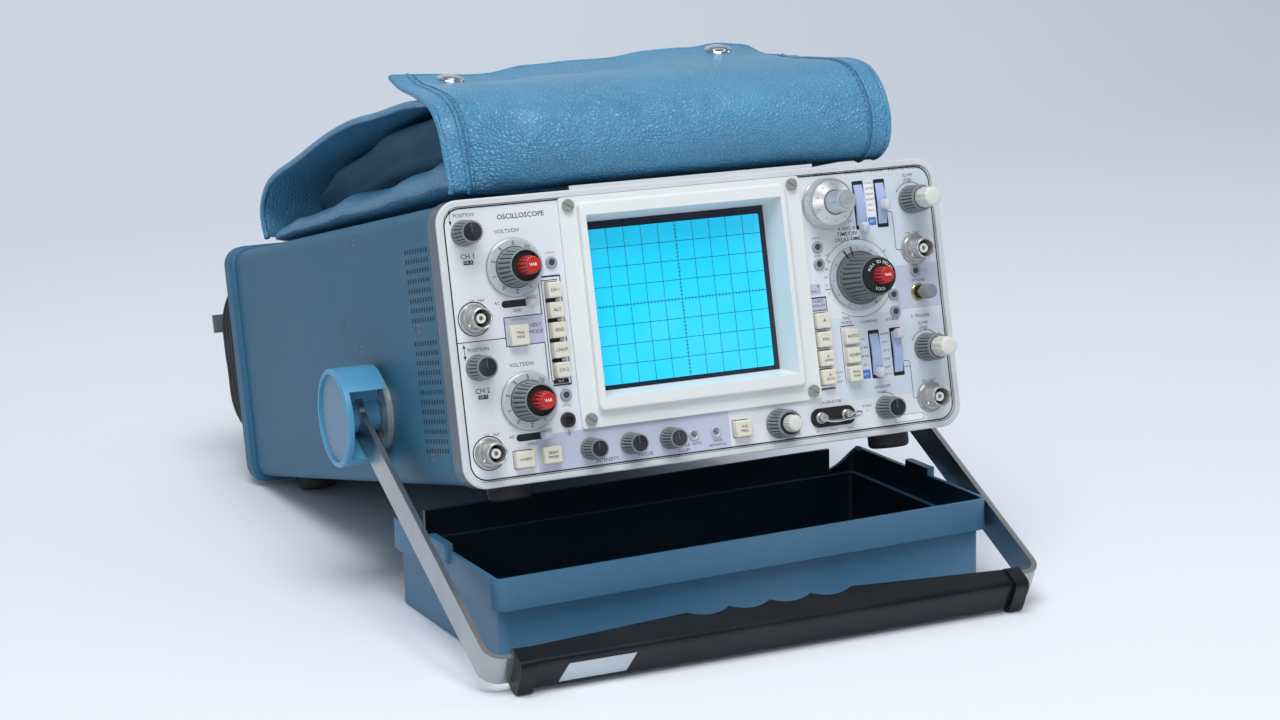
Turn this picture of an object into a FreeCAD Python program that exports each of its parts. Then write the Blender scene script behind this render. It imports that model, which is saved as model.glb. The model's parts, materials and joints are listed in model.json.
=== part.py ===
import FreeCAD, Part
import math
import os

# A portable two-channel oscilloscope standing on its swing handle.  Its front cover lies open
# on the surface under the front, its mains cord is wound on the rear posts and a soft storage
# pouch sits on the top.
#
# Everything but the front cover is drawn in the instrument's own frame: +X to the right of
# someone who faces the panel, +Y to the rear, +Z up, with y = 0 on the front face of the front
# frame and z = 0 on its lower edge.  The finished instrument is then tilted until the handle's
# grip and the rear feet both touch the floor, and moved so that the origin is at the centre of
# the bottom of the whole part's box.  All sizes are in millimetres.

Vector = FreeCAD.Vector

# ---- cabinet ------------------------------------------------------------------------------
frame_width = 284.0
frame_height = 144.0
frame_depth = 14.0
frame_round = 12.0
frame_lip = 3.6
frame_ledge = 3.0
case_inset = 1.5
case_wall = 1.6
case_round = 8.0
case_depth = 374.0
ring_depth = 16.0
ring_overlap = 6.0
ring_proud = 3.2
ring_edge_round = 3.0
ring_bead = 4.0

# ---- vents in both sides of the cabinet ---------------------------------------------------
vent_columns = 9
vent_upper_rows = 8
vent_lower_rows = 12
vent_column_pitch = 4.0
vent_row_pitch = 5.0
vent_width = 2.0
vent_height = 2.4
vent_front = 24.0
vent_upper_top = 122.0
vent_lower_top = 75.0

# ---- front panel --------------------------------------------------------------------------
panel_recess = 1.2
panel_thickness = 2.0
panel_margin = 0.3

# ---- display ------------------------------------------------------------------------------
screen_x = -8.5
screen_z = 84.2
window_width = 104.0
window_height = 86.5
bezel_ring_width = 117.0
bezel_ring_height = 106.0
bezel_flange_width = 136.0
bezel_flange_height = 117.0
bezel_flange_z = 82.0
bezel_flange_thickness = 1.6
bezel_ring_proud = 5.0
bezel_slope = 3.0
filter_depth = 13.0
filter_thickness = 2.0
filter_overlap = 2.5
tube_face_thickness = 6.0
tube_funnel_length = 150.0
tube_neck_length = 110.0
tube_neck_radius = 25.0

# ---- controls: heights are measured outwards from the panel's face ---------------------------
knob_gap = 0.5
shaft_radius = 3.0
inner_shaft_radius = 2.0
sleeve_shaft_radius = 4.2
shaft_clearance = 0.35
shaft_tail = 9.0
stack_gap = 0.4
button_clearance = 0.4
button_height = 4.6
button_tail = 6.0
power_button_at = (124.4, 72.2)
power_button_radius = 4.0
power_stem_radius = 2.2
power_button_height = 14.0
power_button_length = 7.0
lever_blade = 2.4
lever_blade_along = 3.4
lever_clearance = 0.45
lever_pivot_depth = 30.0
lever_tip_across = 5.2
lever_tip_along = 6.4
lever_tip_base = 2.4
lever_tip_height = 8.0

# ---- panel layout: columns and rows -------------------------------------------------------
channel_pitch = 67.0
channel_knob_x = -128.0
channel_dial_x = -103.4
channel_lamp_x = -83.2
channel_one_position_z = 127.3
channel_one_dial_z = 108.0
channel_one_lamp_z = 108.6
channel_one_socket_z = 84.5
channel_one_lever_z = 90.1
channel_lever_x = -99.3
channel_slot_x = -104.2
channel_slot_length = 15.4
vertical_mode_x = -84.3
vertical_mode_top = 94.8
vertical_mode_pitch = 10.1
bottom_row_z = 13.3
trigger_pitch = 79.0
trigger_knob_x = 125.6
trigger_knob_top = 122.4
trigger_socket_x = 124.7
trigger_socket_top = 95.9
trigger_coupling_x = 94.6
trigger_source_x = 107.5
trigger_slot_top = 122.0
trigger_slot_length = 24.0
display_mode_x = 64.3
display_mode_top = 63.8
trigger_mode_x = 80.0
mode_pitch = 9.9
time_dial_x = 89.0
time_dial_z = 84.0
delay_dial_x = 74.0
delay_dial_z = 124.4

# ---- inside the cabinet ---------------------------------------------------------------------
chassis_gap = 0.4
rail_width = 10.0
rail_height = 14.0
deck_thickness = 3.0
bulkhead_y = 46.0
bulkhead_thickness = 3.0
web_thickness = 2.0
web_inset = 24.0
web_top_gap = 20.0
transformer_x = 30.0
transformer_size = 80.0
supply_x = -110.0
supply_size = (80.0, 100.0, 40.0)
rear_clearance = 14.0
tube_clearance = 4.0
tube_clearance_length = 60.0
neck_clearance = 30.0

# ---- panel fittings -----------------------------------------------------------------------
socket_flange_radius = 7.6
socket_flange_thickness = 2.4
socket_barrel_radius = 4.8
socket_barrel_height = 12.5
socket_bore_radius = 3.6
socket_pin_radius = 0.9
socket_tail_radius = 5.5
socket_tail = 9.0
jack_at = (-83.6, 29.1)
jack_radius = 4.0
jack_tail_radius = 3.2
jack_bore_radius = 2.0
jack_height = 2.4
jack_bore_depth = 10.0
lamp_radius = 2.7
lamp_height = 1.6
lamp_shank_radius = 2.2
lamp_shank = 6.0
loop_plate_length = 26.0
loop_plate_width = 10.0
loop_plate_thickness = 1.4
loop_post_pitch = 15.0
loop_post_radius = 1.7
loop_height = 6.5
adjuster_radius = 2.6
adjuster_height = 0.8
loop_at = (65.3, 13.3)
loop_bar_radius = 1.2
loop_bar_overhang = 2.0
screw_radius = 3.2
screw_height = 1.6
screw_slot = 0.9
screw_slot_depth = 0.9
screw_slot_turn = 35.0
screw_inset = (4.8, 4.4)

# ---- feet ---------------------------------------------------------------------------------
foot_side_inset = 30.5
front_foot_y = 26.0
rear_foot_inset = 28.0
foot_radius = 11.0
foot_height = 10.0
foot_edge_round = 2.5

# ---- rear panel and the mains cord ----------------------------------------------------------
rear_panel_inset = 6.0
rear_panel_thickness = 3.0
post_radius = 39.0
post_length = 48.5
post_skirt = 8.0
post_ear_thickness = 3.0
post_ear_width = 11.5
post_ear_lip = 9.5
cord_diameter = 7.0
cord_gap = 0.5
cord_layer_pitch = 7.8
cord_turns = 4
cord_first_layer = 11.5
gland_length = 22.0
gland_radius = 6.4
gland_x = 68.0
gland_z = 24.0
plug_length = 34.0
plug_width = 22.0
plug_height = 18.0
plug_boot_length = 18.0
plug_prong_length = 15.0

# ---- handle -------------------------------------------------------------------------------
hub_y = 124.0
hub_z = 40.3
hub_radius = 26.5
hub_side_gap = 3.5
hub_length = 24.0
hub_dish_radius = 23.6
hub_dish_depth = 2.0
hub_window_wall = 3.5
hub_window_top = 24.5
hub_window_bottom = -9.5
pivot_neck_radius = 20.0
pivot_gap = 0.3
axle_radius = 7.0
axle_clearance = 0.08
axle_end_gap = 0.4
arm_inset = 12.0
arm_thickness = 3.0
arm_width = 16.5
arm_bend_radius = 10.0
arm_reach = 203.5
stand_angle = 37.86
grip_end_gap = 14.0
grip_front_depth = 8.5
grip_rear_depth = 3.2
grip_half_thickness = 9.2
grip_edge_round = 3.0
grip_collar_length = 8.0
grip_collar_proud = 1.4
grip_collar_front = 2.4
grip_collar_round = 4.0
finger_count = 4
finger_pitch = 23.0
finger_rise = 5.8
finger_depth = 3.6

# ---- front cover --------------------------------------------------------------------------
cover_clearance = 0.2
cover_depth = 138.0
cover_height = 48.0
cover_wall = 2.6
cover_floor = 2.6
cover_round = 7.0
cover_rim_height = 18.2
cover_rim_step = 3.6
cover_groove = 1.6
cover_turn = 2.6
cover_centre_x = 7.0
cover_front_y = -18.4
cover_notch_width = 18.0
cover_notch_depth = 12.5
cover_notch_inset = 10.0
cover_tab_length = 24.0
cover_tab_height = 4.0
cover_tab_thickness = 5.0

# ---- storage pouch and its mounting plate ---------------------------------------------------
pouch_left_inset = 16.0
pouch_right_inset = 24.0
pouch_front = 15.0
pouch_bulge = 18.0
pouch_rear_inset = 28.0
pouch_front_height = 62.0
pouch_rear_height = 42.0
pouch_gap = 0.3
plate_half_width = 69.0
plate_depth = 12.0
plate_thickness = 2.0

# ---- values worked out from the sizes above ---------------------------------------------------
half_width = frame_width / 2
case_half_width = half_width - case_inset
case_bottom = case_inset
case_top = frame_height - case_inset
case_rear = frame_depth + case_depth
ring_rear = case_rear - ring_overlap + ring_depth
panel_face = panel_recess
panel_back = panel_recess + panel_thickness
post_root = ring_rear - rear_panel_inset
post_end = post_root + post_length
winding_reach = post_radius + cord_gap + cord_diameter / 2
post_x = case_half_width - cord_diameter / 2 - winding_reach
foot_x = case_half_width - foot_side_inset
rear_foot_y = case_rear - rear_foot_inset
hub_inner_x = case_half_width + hub_side_gap
hub_outer_x = hub_inner_x + hub_length
hub_window_outer_x = hub_outer_x - hub_window_wall
arm_outer_x = hub_inner_x + arm_inset
grip_half_length = arm_outer_x - grip_end_gap
cover_width = frame_width + 2 * (cover_wall + cover_clearance)
cover_notch_x = cover_width / 2 - cover_notch_inset
pouch_left = pouch_left_inset - half_width
pouch_right = half_width - pouch_right_inset
pouch_rear = case_rear - pouch_rear_inset
post_high_z = frame_height - 11.0 - post_radius
post_low_z = 17.0 + post_radius
OUT = -1.0


def box(x0, x1, y0, y1, z0, z1):
    """A block between two opposite corners."""
    return Part.makeBox(x1 - x0, y1 - y0, z1 - z0, Vector(x0, y0, z0))


def rod(x, z, radius, y0, y1):
    """A round bar along Y."""
    return Part.makeCylinder(radius, y1 - y0, Vector(x, y0, z), Vector(0, 1, 0))


def cross_rod(x0, x1, y, z, radius):
    """A round bar along X."""
    return Part.makeCylinder(radius, x1 - x0, Vector(x0, y, z), Vector(1, 0, 0))


def cone(x, z, radius0, radius1, y0, y1):
    """A tapered bar along Y, or a round one where both radii are equal."""
    if abs(radius0 - radius1) < 1e-9:
        return rod(x, z, radius0, y0, y1)
    return Part.makeCone(radius0, radius1, y1 - y0, Vector(x, y0, z), Vector(0, 1, 0))


def edges_along(shape, direction):
    """The straight edges that run along a direction."""
    found = []
    for edge in shape.Edges:
        if edge.Curve.TypeId != "Part::GeomLine":
            continue
        if abs(edge.tangentAt(edge.FirstParameter).dot(direction)) > 0.999:
            found.append(edge)
    return found


def soft_block(x0, x1, y0, y1, z0, z1, radius, direction=Vector(0, 1, 0)):
    """A block with the four edges along one direction rounded."""
    shape = box(x0, x1, y0, y1, z0, z1)
    return shape.makeFillet(radius, edges_along(shape, direction))


def centred_block(x, z, width, height, y0, y1, radius):
    """A rounded block along Y round a centre on the panel."""
    return soft_block(x - width / 2, x + width / 2, y0, y1, z - height / 2, z + height / 2, radius)


def fused(shapes):
    """One solid from shapes that touch or overlap."""
    whole = shapes[0].fuse(shapes[1:]) if len(shapes) > 1 else shapes[0]
    return whole.removeSplitter()


def mirrored_x(shape):
    """The same shape on the other side of the instrument."""
    return shape.mirror(Vector(0, 0, 0), Vector(1, 0, 0))


def outwards(height):
    """The y of a height above the panel's face."""
    return panel_face + OUT * height


# ---- controls -------------------------------------------------------------------------------
# A knob's steps are (radius at the panel side, radius at the outer side, height, height).

def small_knob(radius, height):
    """The one step of a plain tapered knob."""
    return [(radius, radius * 0.86, knob_gap, height)]


channel_dial_steps = [(15.0, 15.0, knob_gap, 2.6), (9.9, 8.6, 2.6, 17.5)]
time_dial_steps = [(17.2, 17.2, knob_gap, 2.8), (11.7, 10.6, 2.8, 22.5)]
delay_dial_steps = [(13.5, 13.2, knob_gap, 9.0), (11.5, 7.0, 9.0, 12.5), (6.0, 5.6, 12.5, 25.0)]
level_steps = [(7.6, 7.0, knob_gap, 13.5)]
coarse_steps = [(7.9, 7.2, knob_gap, 12.5)]


def cap_steps(base, radius, top_radius, length):
    """A small cap on top of a knob whose height is base."""
    return [(radius, top_radius, base + stack_gap, base + stack_gap + length)]


def knob_table():
    """Every turning control: name, place, steps, shaft radius, bore radius and turn to each side."""
    inner_bore = inner_shaft_radius + shaft_clearance
    outer_bore = sleeve_shaft_radius + shaft_clearance
    table = []
    for index, channel in enumerate(("ch1", "ch2")):
        drop = index * channel_pitch
        position = (channel_knob_x, channel_one_position_z - drop)
        dial = (channel_dial_x, channel_one_dial_z - drop)
        table.append((channel + "_position", position, small_knob(6.7, 13.5), shaft_radius, 0.0, 150))
        table.append((channel + "_volts", dial, channel_dial_steps, shaft_radius, inner_bore, 150))
        table.append((channel + "_variable", dial, cap_steps(17.5, 5.0, 4.1, 9.2),
                      inner_shaft_radius, 0.0, 150))
    for name, x in (("intensity", -72.9), ("focus", -50.9), ("scale_light", -29.0)):
        table.append((name, (x, bottom_row_z), small_knob(5.8, 12.5), shaft_radius, 0.0, 150))
    table.append(("sweep_position", (34.0, bottom_row_z), coarse_steps, shaft_radius, inner_bore, 150))
    table.append(("sweep_fine", (34.0, bottom_row_z), cap_steps(12.5, 4.6, 4.1, 7.0),
                  inner_shaft_radius, 0.0, 150))
    table.append(("holdoff", (97.1, 14.3), small_knob(6.3, 13.5), shaft_radius, 0.0, 150))
    table.append(("delay_dial", (delay_dial_x, delay_dial_z), delay_dial_steps, shaft_radius, 0.0, 1800))
    time_dial = (time_dial_x, time_dial_z)
    table.append(("time_main", time_dial, time_dial_steps, 5.4, outer_bore, 150))
    table.append(("time_delayed", time_dial, cap_steps(22.5, 9.2, 9.0, 2.4),
                  sleeve_shaft_radius, inner_bore, 150))
    table.append(("time_variable", time_dial, cap_steps(25.3, 4.7, 4.2, 7.6),
                  inner_shaft_radius, 0.0, 150))
    for index, trigger in enumerate(("b", "a")):
        level = (trigger_knob_x, trigger_knob_top - index * trigger_pitch)
        table.append((trigger + "_level", level, level_steps, shaft_radius, inner_bore, 150))
        table.append((trigger + "_slope", level, cap_steps(13.5, 5.5, 5.0, 11.0),
                      inner_shaft_radius, 0.0, 30))
    return table


def button_table():
    """Every square button: name, place, width and height."""
    table = [("trigger_view", (-105.4, 74.2), (10.0, 10.5))]
    for index in range(5):
        place = (vertical_mode_x, vertical_mode_top - index * vertical_mode_pitch)
        table.append(("vertical_mode_%d" % (index + 1), place, (7.6, 8.0)))
    table.append(("invert", (-109.6, 12.4), (10.0, 8.6)))
    table.append(("beam_finder", (-94.9, 12.9), (10.0, 8.6)))
    table.append(("magnifier", (11.7, bottom_row_z), (9.4, 8.6)))
    for index in range(4):
        place = (display_mode_x, display_mode_top - index * mode_pitch)
        table.append(("display_mode_%d" % (index + 1), place, (7.8, 8.2)))
    for index in range(3):
        place = (trigger_mode_x, display_mode_top - (index + 1) * mode_pitch)
        table.append(("trigger_mode_%d" % (index + 1), place, (7.8, 8.2)))
    return table


def lever_table():
    """Every lever: name, centre of its slot, slot direction, slot length and rest offset."""
    table = []
    for index, channel in enumerate(("ch1", "ch2")):
        z = channel_one_lever_z - index * channel_pitch
        rest = channel_lever_x - channel_slot_x
        table.append((channel + "_coupling", (channel_slot_x, z), "x", channel_slot_length, rest))
    for index, (trigger, coupling_rest, source_rest) in enumerate((("b", -9.0, -2.0), ("a", -7.5, 7.5))):
        z = trigger_slot_top - index * trigger_pitch
        table.append((trigger + "_coupling", (trigger_coupling_x, z), "z", trigger_slot_length,
                      coupling_rest))
        table.append((trigger + "_source", (trigger_source_x, z), "z", trigger_slot_length,
                      source_rest))
    return table


def lever_angle(offset):
    """The lean in degrees of a lever that stands off its slot's centre."""
    return math.degrees(math.atan2(offset, lever_pivot_depth))


def knob(place, steps, shaft, bore):
    """A knob with its shaft, and with a hole for an inner shaft where bore isn't zero."""
    x, z = place
    solids = [rod(x, z, shaft, outwards(steps[0][2] + 1.0), panel_back + shaft_tail)]
    if shaft == inner_shaft_radius:
        solids = [rod(x, z, shaft, outwards(steps[0][2] + 1.0), panel_back + shaft_tail + 3.0)]
    for near, far, low, high in steps:
        solids.append(cone(x, z, far, near, outwards(high), outwards(low)))
    whole = fused(solids)
    if bore > 0.0:
        whole = whole.cut(rod(x, z, bore, outwards(60.0), panel_back + 60.0))
    return whole


def button(place, size):
    """A square button with its stem behind the panel."""
    x, z = place
    return centred_block(x, z, size[0], size[1], outwards(button_height), panel_back + button_tail, 0.8)


def power_button():
    """A round button on a thin stem."""
    x, z = power_button_at
    cap = rod(x, z, power_button_radius, outwards(power_button_height),
              outwards(power_button_height - power_button_length))
    stem = rod(x, z, power_stem_radius, outwards(power_button_height - 1.0), panel_back + button_tail)
    return fused([cap, stem])


def lever(centre, direction, rest):
    """A lever that leans about a pivot behind the panel."""
    x, z = centre
    pivot_y = panel_face + lever_pivot_depth
    blade = box(-lever_blade / 2, lever_blade / 2, OUT * lever_pivot_depth - lever_tip_base - 1.0,
                3.0, -lever_blade_along / 2, lever_blade_along / 2)
    tip = soft_block(-lever_tip_across / 2, lever_tip_across / 2,
                     OUT * (lever_pivot_depth + lever_tip_height),
                     OUT * (lever_pivot_depth + lever_tip_base),
                     -lever_tip_along / 2, lever_tip_along / 2, 1.2)
    shape = fused([blade, tip])
    shape.rotate(Vector(0, 0, 0), Vector(1, 0, 0), -lever_angle(rest))
    if direction == "x":
        shape.rotate(Vector(0, 0, 0), Vector(0, 1, 0), 90)
    shape.translate(Vector(x, pivot_y, z))
    return shape


def lever_slot(centre, direction, length):
    """The slot in the panel for a lever."""
    x, z = centre
    across = lever_blade + 2 * lever_clearance
    if direction == "x":
        return centred_block(x, z, length, across, panel_face - 1, panel_back + 1, across * 0.45)
    return centred_block(x, z, across, length, panel_face - 1, panel_back + 1, across * 0.45)


# ---- cabinet --------------------------------------------------------------------------------

def shell(outer_half, bottom, top, wall, radius, y0, y1):
    """A rounded rectangular tube along Y."""
    outer = soft_block(-outer_half, outer_half, y0, y1, bottom, top, radius)
    inner = soft_block(-outer_half + wall, outer_half - wall, y0 - 1, y1 + 1, bottom + wall,
                       top - wall, max(radius - wall, 0.5))
    return outer.cut(inner)


def vent_cutters():
    """One slot block for each vent hole, through both sides of the cabinet."""
    cutters = []
    rows = [vent_upper_top - row * vent_row_pitch for row in range(vent_upper_rows)]
    rows += [vent_lower_top - row * vent_row_pitch for row in range(vent_lower_rows)]
    for z in rows:
        for column in range(vent_columns):
            y = vent_front + column * vent_column_pitch
            cutters.append(box(-half_width - 5, half_width + 5, y - vent_width / 2,
                               y + vent_width / 2, z - vent_height / 2, z + vent_height / 2))
    return cutters


def cabinet_sleeve():
    """The wrap-round cabinet with its vents, and the trim ring at its rear edge."""
    sleeve = shell(case_half_width, case_bottom, case_top, case_wall, case_round, frame_depth, case_rear)
    sleeve = sleeve.cut(Part.makeCompound(vent_cutters()))
    ring_half = case_half_width + ring_proud
    ring_outer = soft_block(-ring_half, ring_half, case_rear - ring_overlap, ring_rear,
                            case_bottom - ring_proud, case_top + ring_proud, case_round + ring_proud)
    rim = [edge for edge in ring_outer.Edges if edge.BoundBox.YLength < 0.01]
    ring_outer = ring_outer.makeFillet(ring_edge_round, rim)
    seat = soft_block(-case_half_width, case_half_width, case_rear - ring_overlap - 1, case_rear,
                      case_bottom, case_top, case_round)
    hole = soft_block(-case_half_width + ring_bead, case_half_width - ring_bead, case_rear - 1,
                      ring_rear + 1, case_bottom + ring_bead, case_top - ring_bead, case_round)
    plate_seat = rear_plate()
    ring = ring_outer.cut([seat, hole, plate_seat])
    return [sleeve, ring]


def front_frame():
    """The cast frame round the front panel."""
    outer = soft_block(-half_width, half_width, 0, frame_depth, 0, frame_height, frame_round)
    rim = [edge for edge in outer.Edges if edge.BoundBox.YMax < 0.01]
    outer = outer.makeFillet(1.0, rim)
    opening = panel_outline(panel_margin, -1, panel_back)
    ledge = soft_block(-half_width + frame_lip + frame_ledge, half_width - frame_lip - frame_ledge,
                       panel_back - 1, frame_depth + 1, frame_lip + frame_ledge,
                       frame_height - frame_lip - frame_ledge, frame_round - frame_lip - frame_ledge)
    frame = outer.cut([opening, ledge])
    plate = box(-plate_half_width, plate_half_width, 1.0, 1.0 + plate_depth, frame_height,
                frame_height + plate_thickness)
    return [frame, plate]


def panel_outline(margin, y0, y1):
    """The front panel's outline, grown by a margin, as a block."""
    edge = frame_lip - margin
    return soft_block(-half_width + edge, half_width - edge, y0, y1, edge, frame_height - edge,
                      frame_round - frame_lip + margin)


def window_block(grow, y0, y1):
    """A block through the display's window."""
    return box(screen_x - window_width / 2 - grow, screen_x + window_width / 2 + grow, y0, y1,
               screen_z - window_height / 2 - grow, screen_z + window_height / 2 + grow)


def front_panel():
    """The flat panel with a hole for every control and fitting."""
    plate = panel_outline(0.0, panel_face, panel_back)
    holes = []
    shafts = {}
    for name, place, steps, shaft, bore, turn in knob_table():
        shafts[place] = max(shafts.get(place, 0.0), shaft)
    for place, shaft in shafts.items():
        holes.append(rod(place[0], place[1], shaft + shaft_clearance, panel_face - 1, panel_back + 1))
    for name, place, size in button_table():
        grown = (size[0] + 2 * button_clearance, size[1] + 2 * button_clearance)
        holes.append(centred_block(place[0], place[1], grown[0], grown[1], panel_face - 1,
                                   panel_back + 1, 1.0))
    holes.append(rod(power_button_at[0], power_button_at[1], power_stem_radius + shaft_clearance,
                     panel_face - 1, panel_back + 1))
    for name, centre, direction, length, rest in lever_table():
        holes.append(lever_slot(centre, direction, length))
    for x, z in socket_places():
        holes.append(rod(x, z, socket_tail_radius, panel_face - 1, panel_back + 1))
    holes.append(rod(jack_at[0], jack_at[1], jack_tail_radius, panel_face - 1, panel_back + 1))
    for x, z in lamp_places() + adjuster_places():
        holes.append(rod(x, z, lamp_shank_radius, panel_face - 1, panel_back + 1))
    ring = centred_block(screen_x, screen_z, bezel_ring_width, bezel_ring_height, panel_face - 1,
                         panel_back + 1, 3.0)
    return [plate.cut(holes + [ring])]


# ---- display --------------------------------------------------------------------------------

def bezel_flange():
    """The bezel's flat flange on the panel."""
    return centred_block(screen_x, bezel_flange_z, bezel_flange_width, bezel_flange_height,
                         panel_face - bezel_flange_thickness, panel_face, 2.0)


def crt_bezel():
    """The bezel: a flange, a raised ring and walls that slope in to the window."""
    front = outwards(bezel_ring_proud)
    ring = centred_block(screen_x, screen_z, bezel_ring_width, bezel_ring_height, front,
                         filter_depth, 3.0)
    rim = [edge for edge in ring.Edges if edge.BoundBox.YMax < front + 0.01]
    ring = ring.makeFillet(1.5, rim)
    wires = []
    for grow, y in ((bezel_slope, front - 0.01), (0.0, filter_depth + 0.01)):
        half_w = window_width / 2 + grow
        half_h = window_height / 2 + grow
        corners = [Vector(screen_x + sx * half_w, y, screen_z + sz * half_h)
                   for sx, sz in ((-1, -1), (1, -1), (1, 1), (-1, 1), (-1, -1))]
        wires.append(Part.makePolygon(corners))
    opening = Part.makeLoft(wires, True, True)
    return [fused([bezel_flange(), ring]).cut(opening)]


def display_tube():
    """The light filter and the picture tube behind it."""
    light_filter = window_block(filter_overlap, filter_depth, filter_depth + filter_thickness)
    face_front = filter_depth + filter_thickness
    face_rear = face_front + tube_face_thickness
    face = window_block(0.0, face_front, face_rear)
    funnel_rear = face_rear + tube_funnel_length
    wide = window_width / 2 - 2
    tall = window_height / 2 - 2
    narrow = tube_neck_radius * 0.7
    wires = []
    for half_w, half_h, y in ((wide, tall, face_rear), (narrow, narrow, funnel_rear)):
        corners = [Vector(screen_x + sx * half_w, y, screen_z + sz * half_h)
                   for sx, sz in ((-1, -1), (1, -1), (1, 1), (-1, 1), (-1, -1))]
        wires.append(Part.makePolygon(corners))
    funnel = Part.makeLoft(wires, True, True)
    neck = rod(screen_x, screen_z, tube_neck_radius, funnel_rear - 1, funnel_rear + tube_neck_length)
    return [light_filter, fused([face, funnel, neck])]


# ---- inside ---------------------------------------------------------------------------------

def chassis():
    """Rails, deck, bulkheads, boards, power transformer and supply, joined as one frame."""
    half = case_half_width - case_wall - chassis_gap
    low = case_bottom + case_wall + chassis_gap
    high = case_top - case_wall - chassis_gap
    front = frame_depth
    rear = case_rear
    pieces = []
    for z0, z1 in ((low, low + rail_height), (high - rail_height, high)):
        for side in (-1, 1):
            x0, x1 = sorted((side * half, side * (half - rail_width)))
            pieces.append(box(x0, x1, front, rear, z0, z1))
    pieces.append(box(-half, half, bulkhead_y, rear, low, low + deck_thickness))
    for y in (bulkhead_y, rear - bulkhead_thickness):
        pieces.append(box(-half, half, y, y + bulkhead_thickness, low, high))
    for x in (-half + web_inset, half - web_inset):
        pieces.append(box(x - web_thickness / 2, x + web_thickness / 2, bulkhead_y, rear, low,
                          high - web_top_gap))
    block_rear = rear - rear_clearance
    pieces.append(box(transformer_x, transformer_x + transformer_size, block_rear - transformer_size,
                      block_rear, low, low + transformer_size))
    width, length, height = supply_size
    pieces.append(box(supply_x, supply_x + width, block_rear - length, block_rear, low, low + height))
    inside = soft_block(-half, half, front, rear, low, high, case_round - case_wall - chassis_gap)
    whole = fused(pieces).common(inside)
    tube = display_tube()[1]
    room = window_block(tube_clearance, front - 1,
                        bulkhead_y + bulkhead_thickness + tube_clearance_length)
    neck_room = rod(screen_x, screen_z, tube_neck_radius + neck_clearance, bulkhead_y,
                    tube.BoundBox.YMax + tube_clearance)
    return [whole.cut([room, neck_room])]


# ---- fittings and fixings ---------------------------------------------------------------------

def socket_places():
    """Where the coaxial sockets stand."""
    places = [(channel_knob_x + 0.7, channel_one_socket_z - index * channel_pitch) for index in (0, 1)]
    places += [(trigger_socket_x, trigger_socket_top - index * trigger_pitch) for index in (0, 1)]
    return places


def lamp_places():
    """Where the small lamps stand."""
    lamps = [(channel_lamp_x, channel_one_lamp_z - index * channel_pitch) for index in (0, 1)]
    return lamps + [(66.8, 102.3), (66.8, 93.3), (109.0, 73.2), (109.0, 64.2), (123.5, 84.5)]


def adjuster_places():
    """Where the two screwdriver adjusters are."""
    return [(-15.4, bottom_row_z), (-2.9, bottom_row_z)]


def coaxial_socket(x, z):
    """A coaxial socket: flange, barrel, centre contact and the tail behind the panel."""
    flange = rod(x, z, socket_flange_radius, outwards(socket_flange_thickness), panel_face)
    barrel = rod(x, z, socket_barrel_radius, outwards(socket_barrel_height), panel_face)
    tail = rod(x, z, socket_tail_radius, panel_face - 1, panel_back + socket_tail)
    hollow = rod(x, z, socket_bore_radius, outwards(socket_barrel_height) - 1, panel_face)
    pin = rod(x, z, socket_pin_radius, outwards(socket_barrel_height - 3.0), panel_face + 1)
    return fused([fused([flange, barrel, tail]).cut(hollow), pin])


def ground_jack():
    """A round jack with a blind hole for a plug."""
    x, z = jack_at
    collar = rod(x, z, jack_radius, outwards(jack_height), panel_face)
    tail = rod(x, z, jack_tail_radius, panel_face - 1, panel_back + socket_tail)
    hole = rod(x, z, jack_bore_radius, outwards(jack_height) - 1,
               outwards(jack_height) + jack_bore_depth)
    return fused([collar, tail]).cut(hole)


def lamp(x, z, radius, height):
    """A round lens or screw head with its shank through the panel."""
    head = rod(x, z, radius, outwards(height), panel_face)
    shank = rod(x, z, lamp_shank_radius, panel_face - 0.5, panel_back + lamp_shank)
    return fused([head, shank])


def calibrator_loop():
    """A plate with two posts and a bar between them, for checking a current probe."""
    x, z = loop_at
    plate = centred_block(x, z, loop_plate_length, loop_plate_width, outwards(loop_plate_thickness),
                          panel_face, loop_plate_width * 0.49)
    posts = [rod(x + side * loop_post_pitch / 2, z, loop_post_radius, outwards(loop_height),
                 panel_face) for side in (-1, 1)]
    reach = loop_post_pitch / 2 + loop_bar_overhang
    bar = cross_rod(x - reach, x + reach, outwards(loop_height - loop_post_radius), z, loop_bar_radius)
    return fused([plate, bar] + posts)


def panel_fittings():
    """Everything fixed to the panel: sockets, jack, lamps, adjusters and calibrator loop."""
    solids = [coaxial_socket(x, z) for x, z in socket_places()]
    solids.append(ground_jack())
    solids += [lamp(x, z, lamp_radius, lamp_height) for x, z in lamp_places()]
    solids += [lamp(x, z, adjuster_radius, adjuster_height) for x, z in adjuster_places()]
    solids.append(calibrator_loop())
    return solids


def bezel_screw(x, z):
    """A slotted screw head on the bezel's flange."""
    seat = panel_face - bezel_flange_thickness
    head = rod(x, z, screw_radius, seat - screw_height, seat)
    slot = box(x - screw_radius - 1, x + screw_radius + 1, seat - screw_height - 1,
               seat - screw_height + screw_slot_depth, z - screw_slot / 2, z + screw_slot / 2)
    slot.rotate(Vector(x, 0, z), Vector(0, 1, 0), screw_slot_turn)
    return head.cut(slot)


def fixings():
    """The bezel's four screws and the two fixed pivots that carry the handle."""
    solids = []
    for side in (-1, 1):
        for end in (-1, 1):
            solids.append(bezel_screw(
                screen_x + side * (bezel_flange_width / 2 - screw_inset[0]),
                bezel_flange_z + end * (bezel_flange_height / 2 - screw_inset[1])))
    neck = cross_rod(case_half_width, hub_inner_x - pivot_gap, hub_y, hub_z, pivot_neck_radius)
    axle = cross_rod(case_half_width, hub_bore_end() - axle_end_gap, hub_y, hub_z, axle_radius)
    pivot = fused([neck, axle])
    return solids + [pivot, mirrored_x(pivot)]


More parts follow.
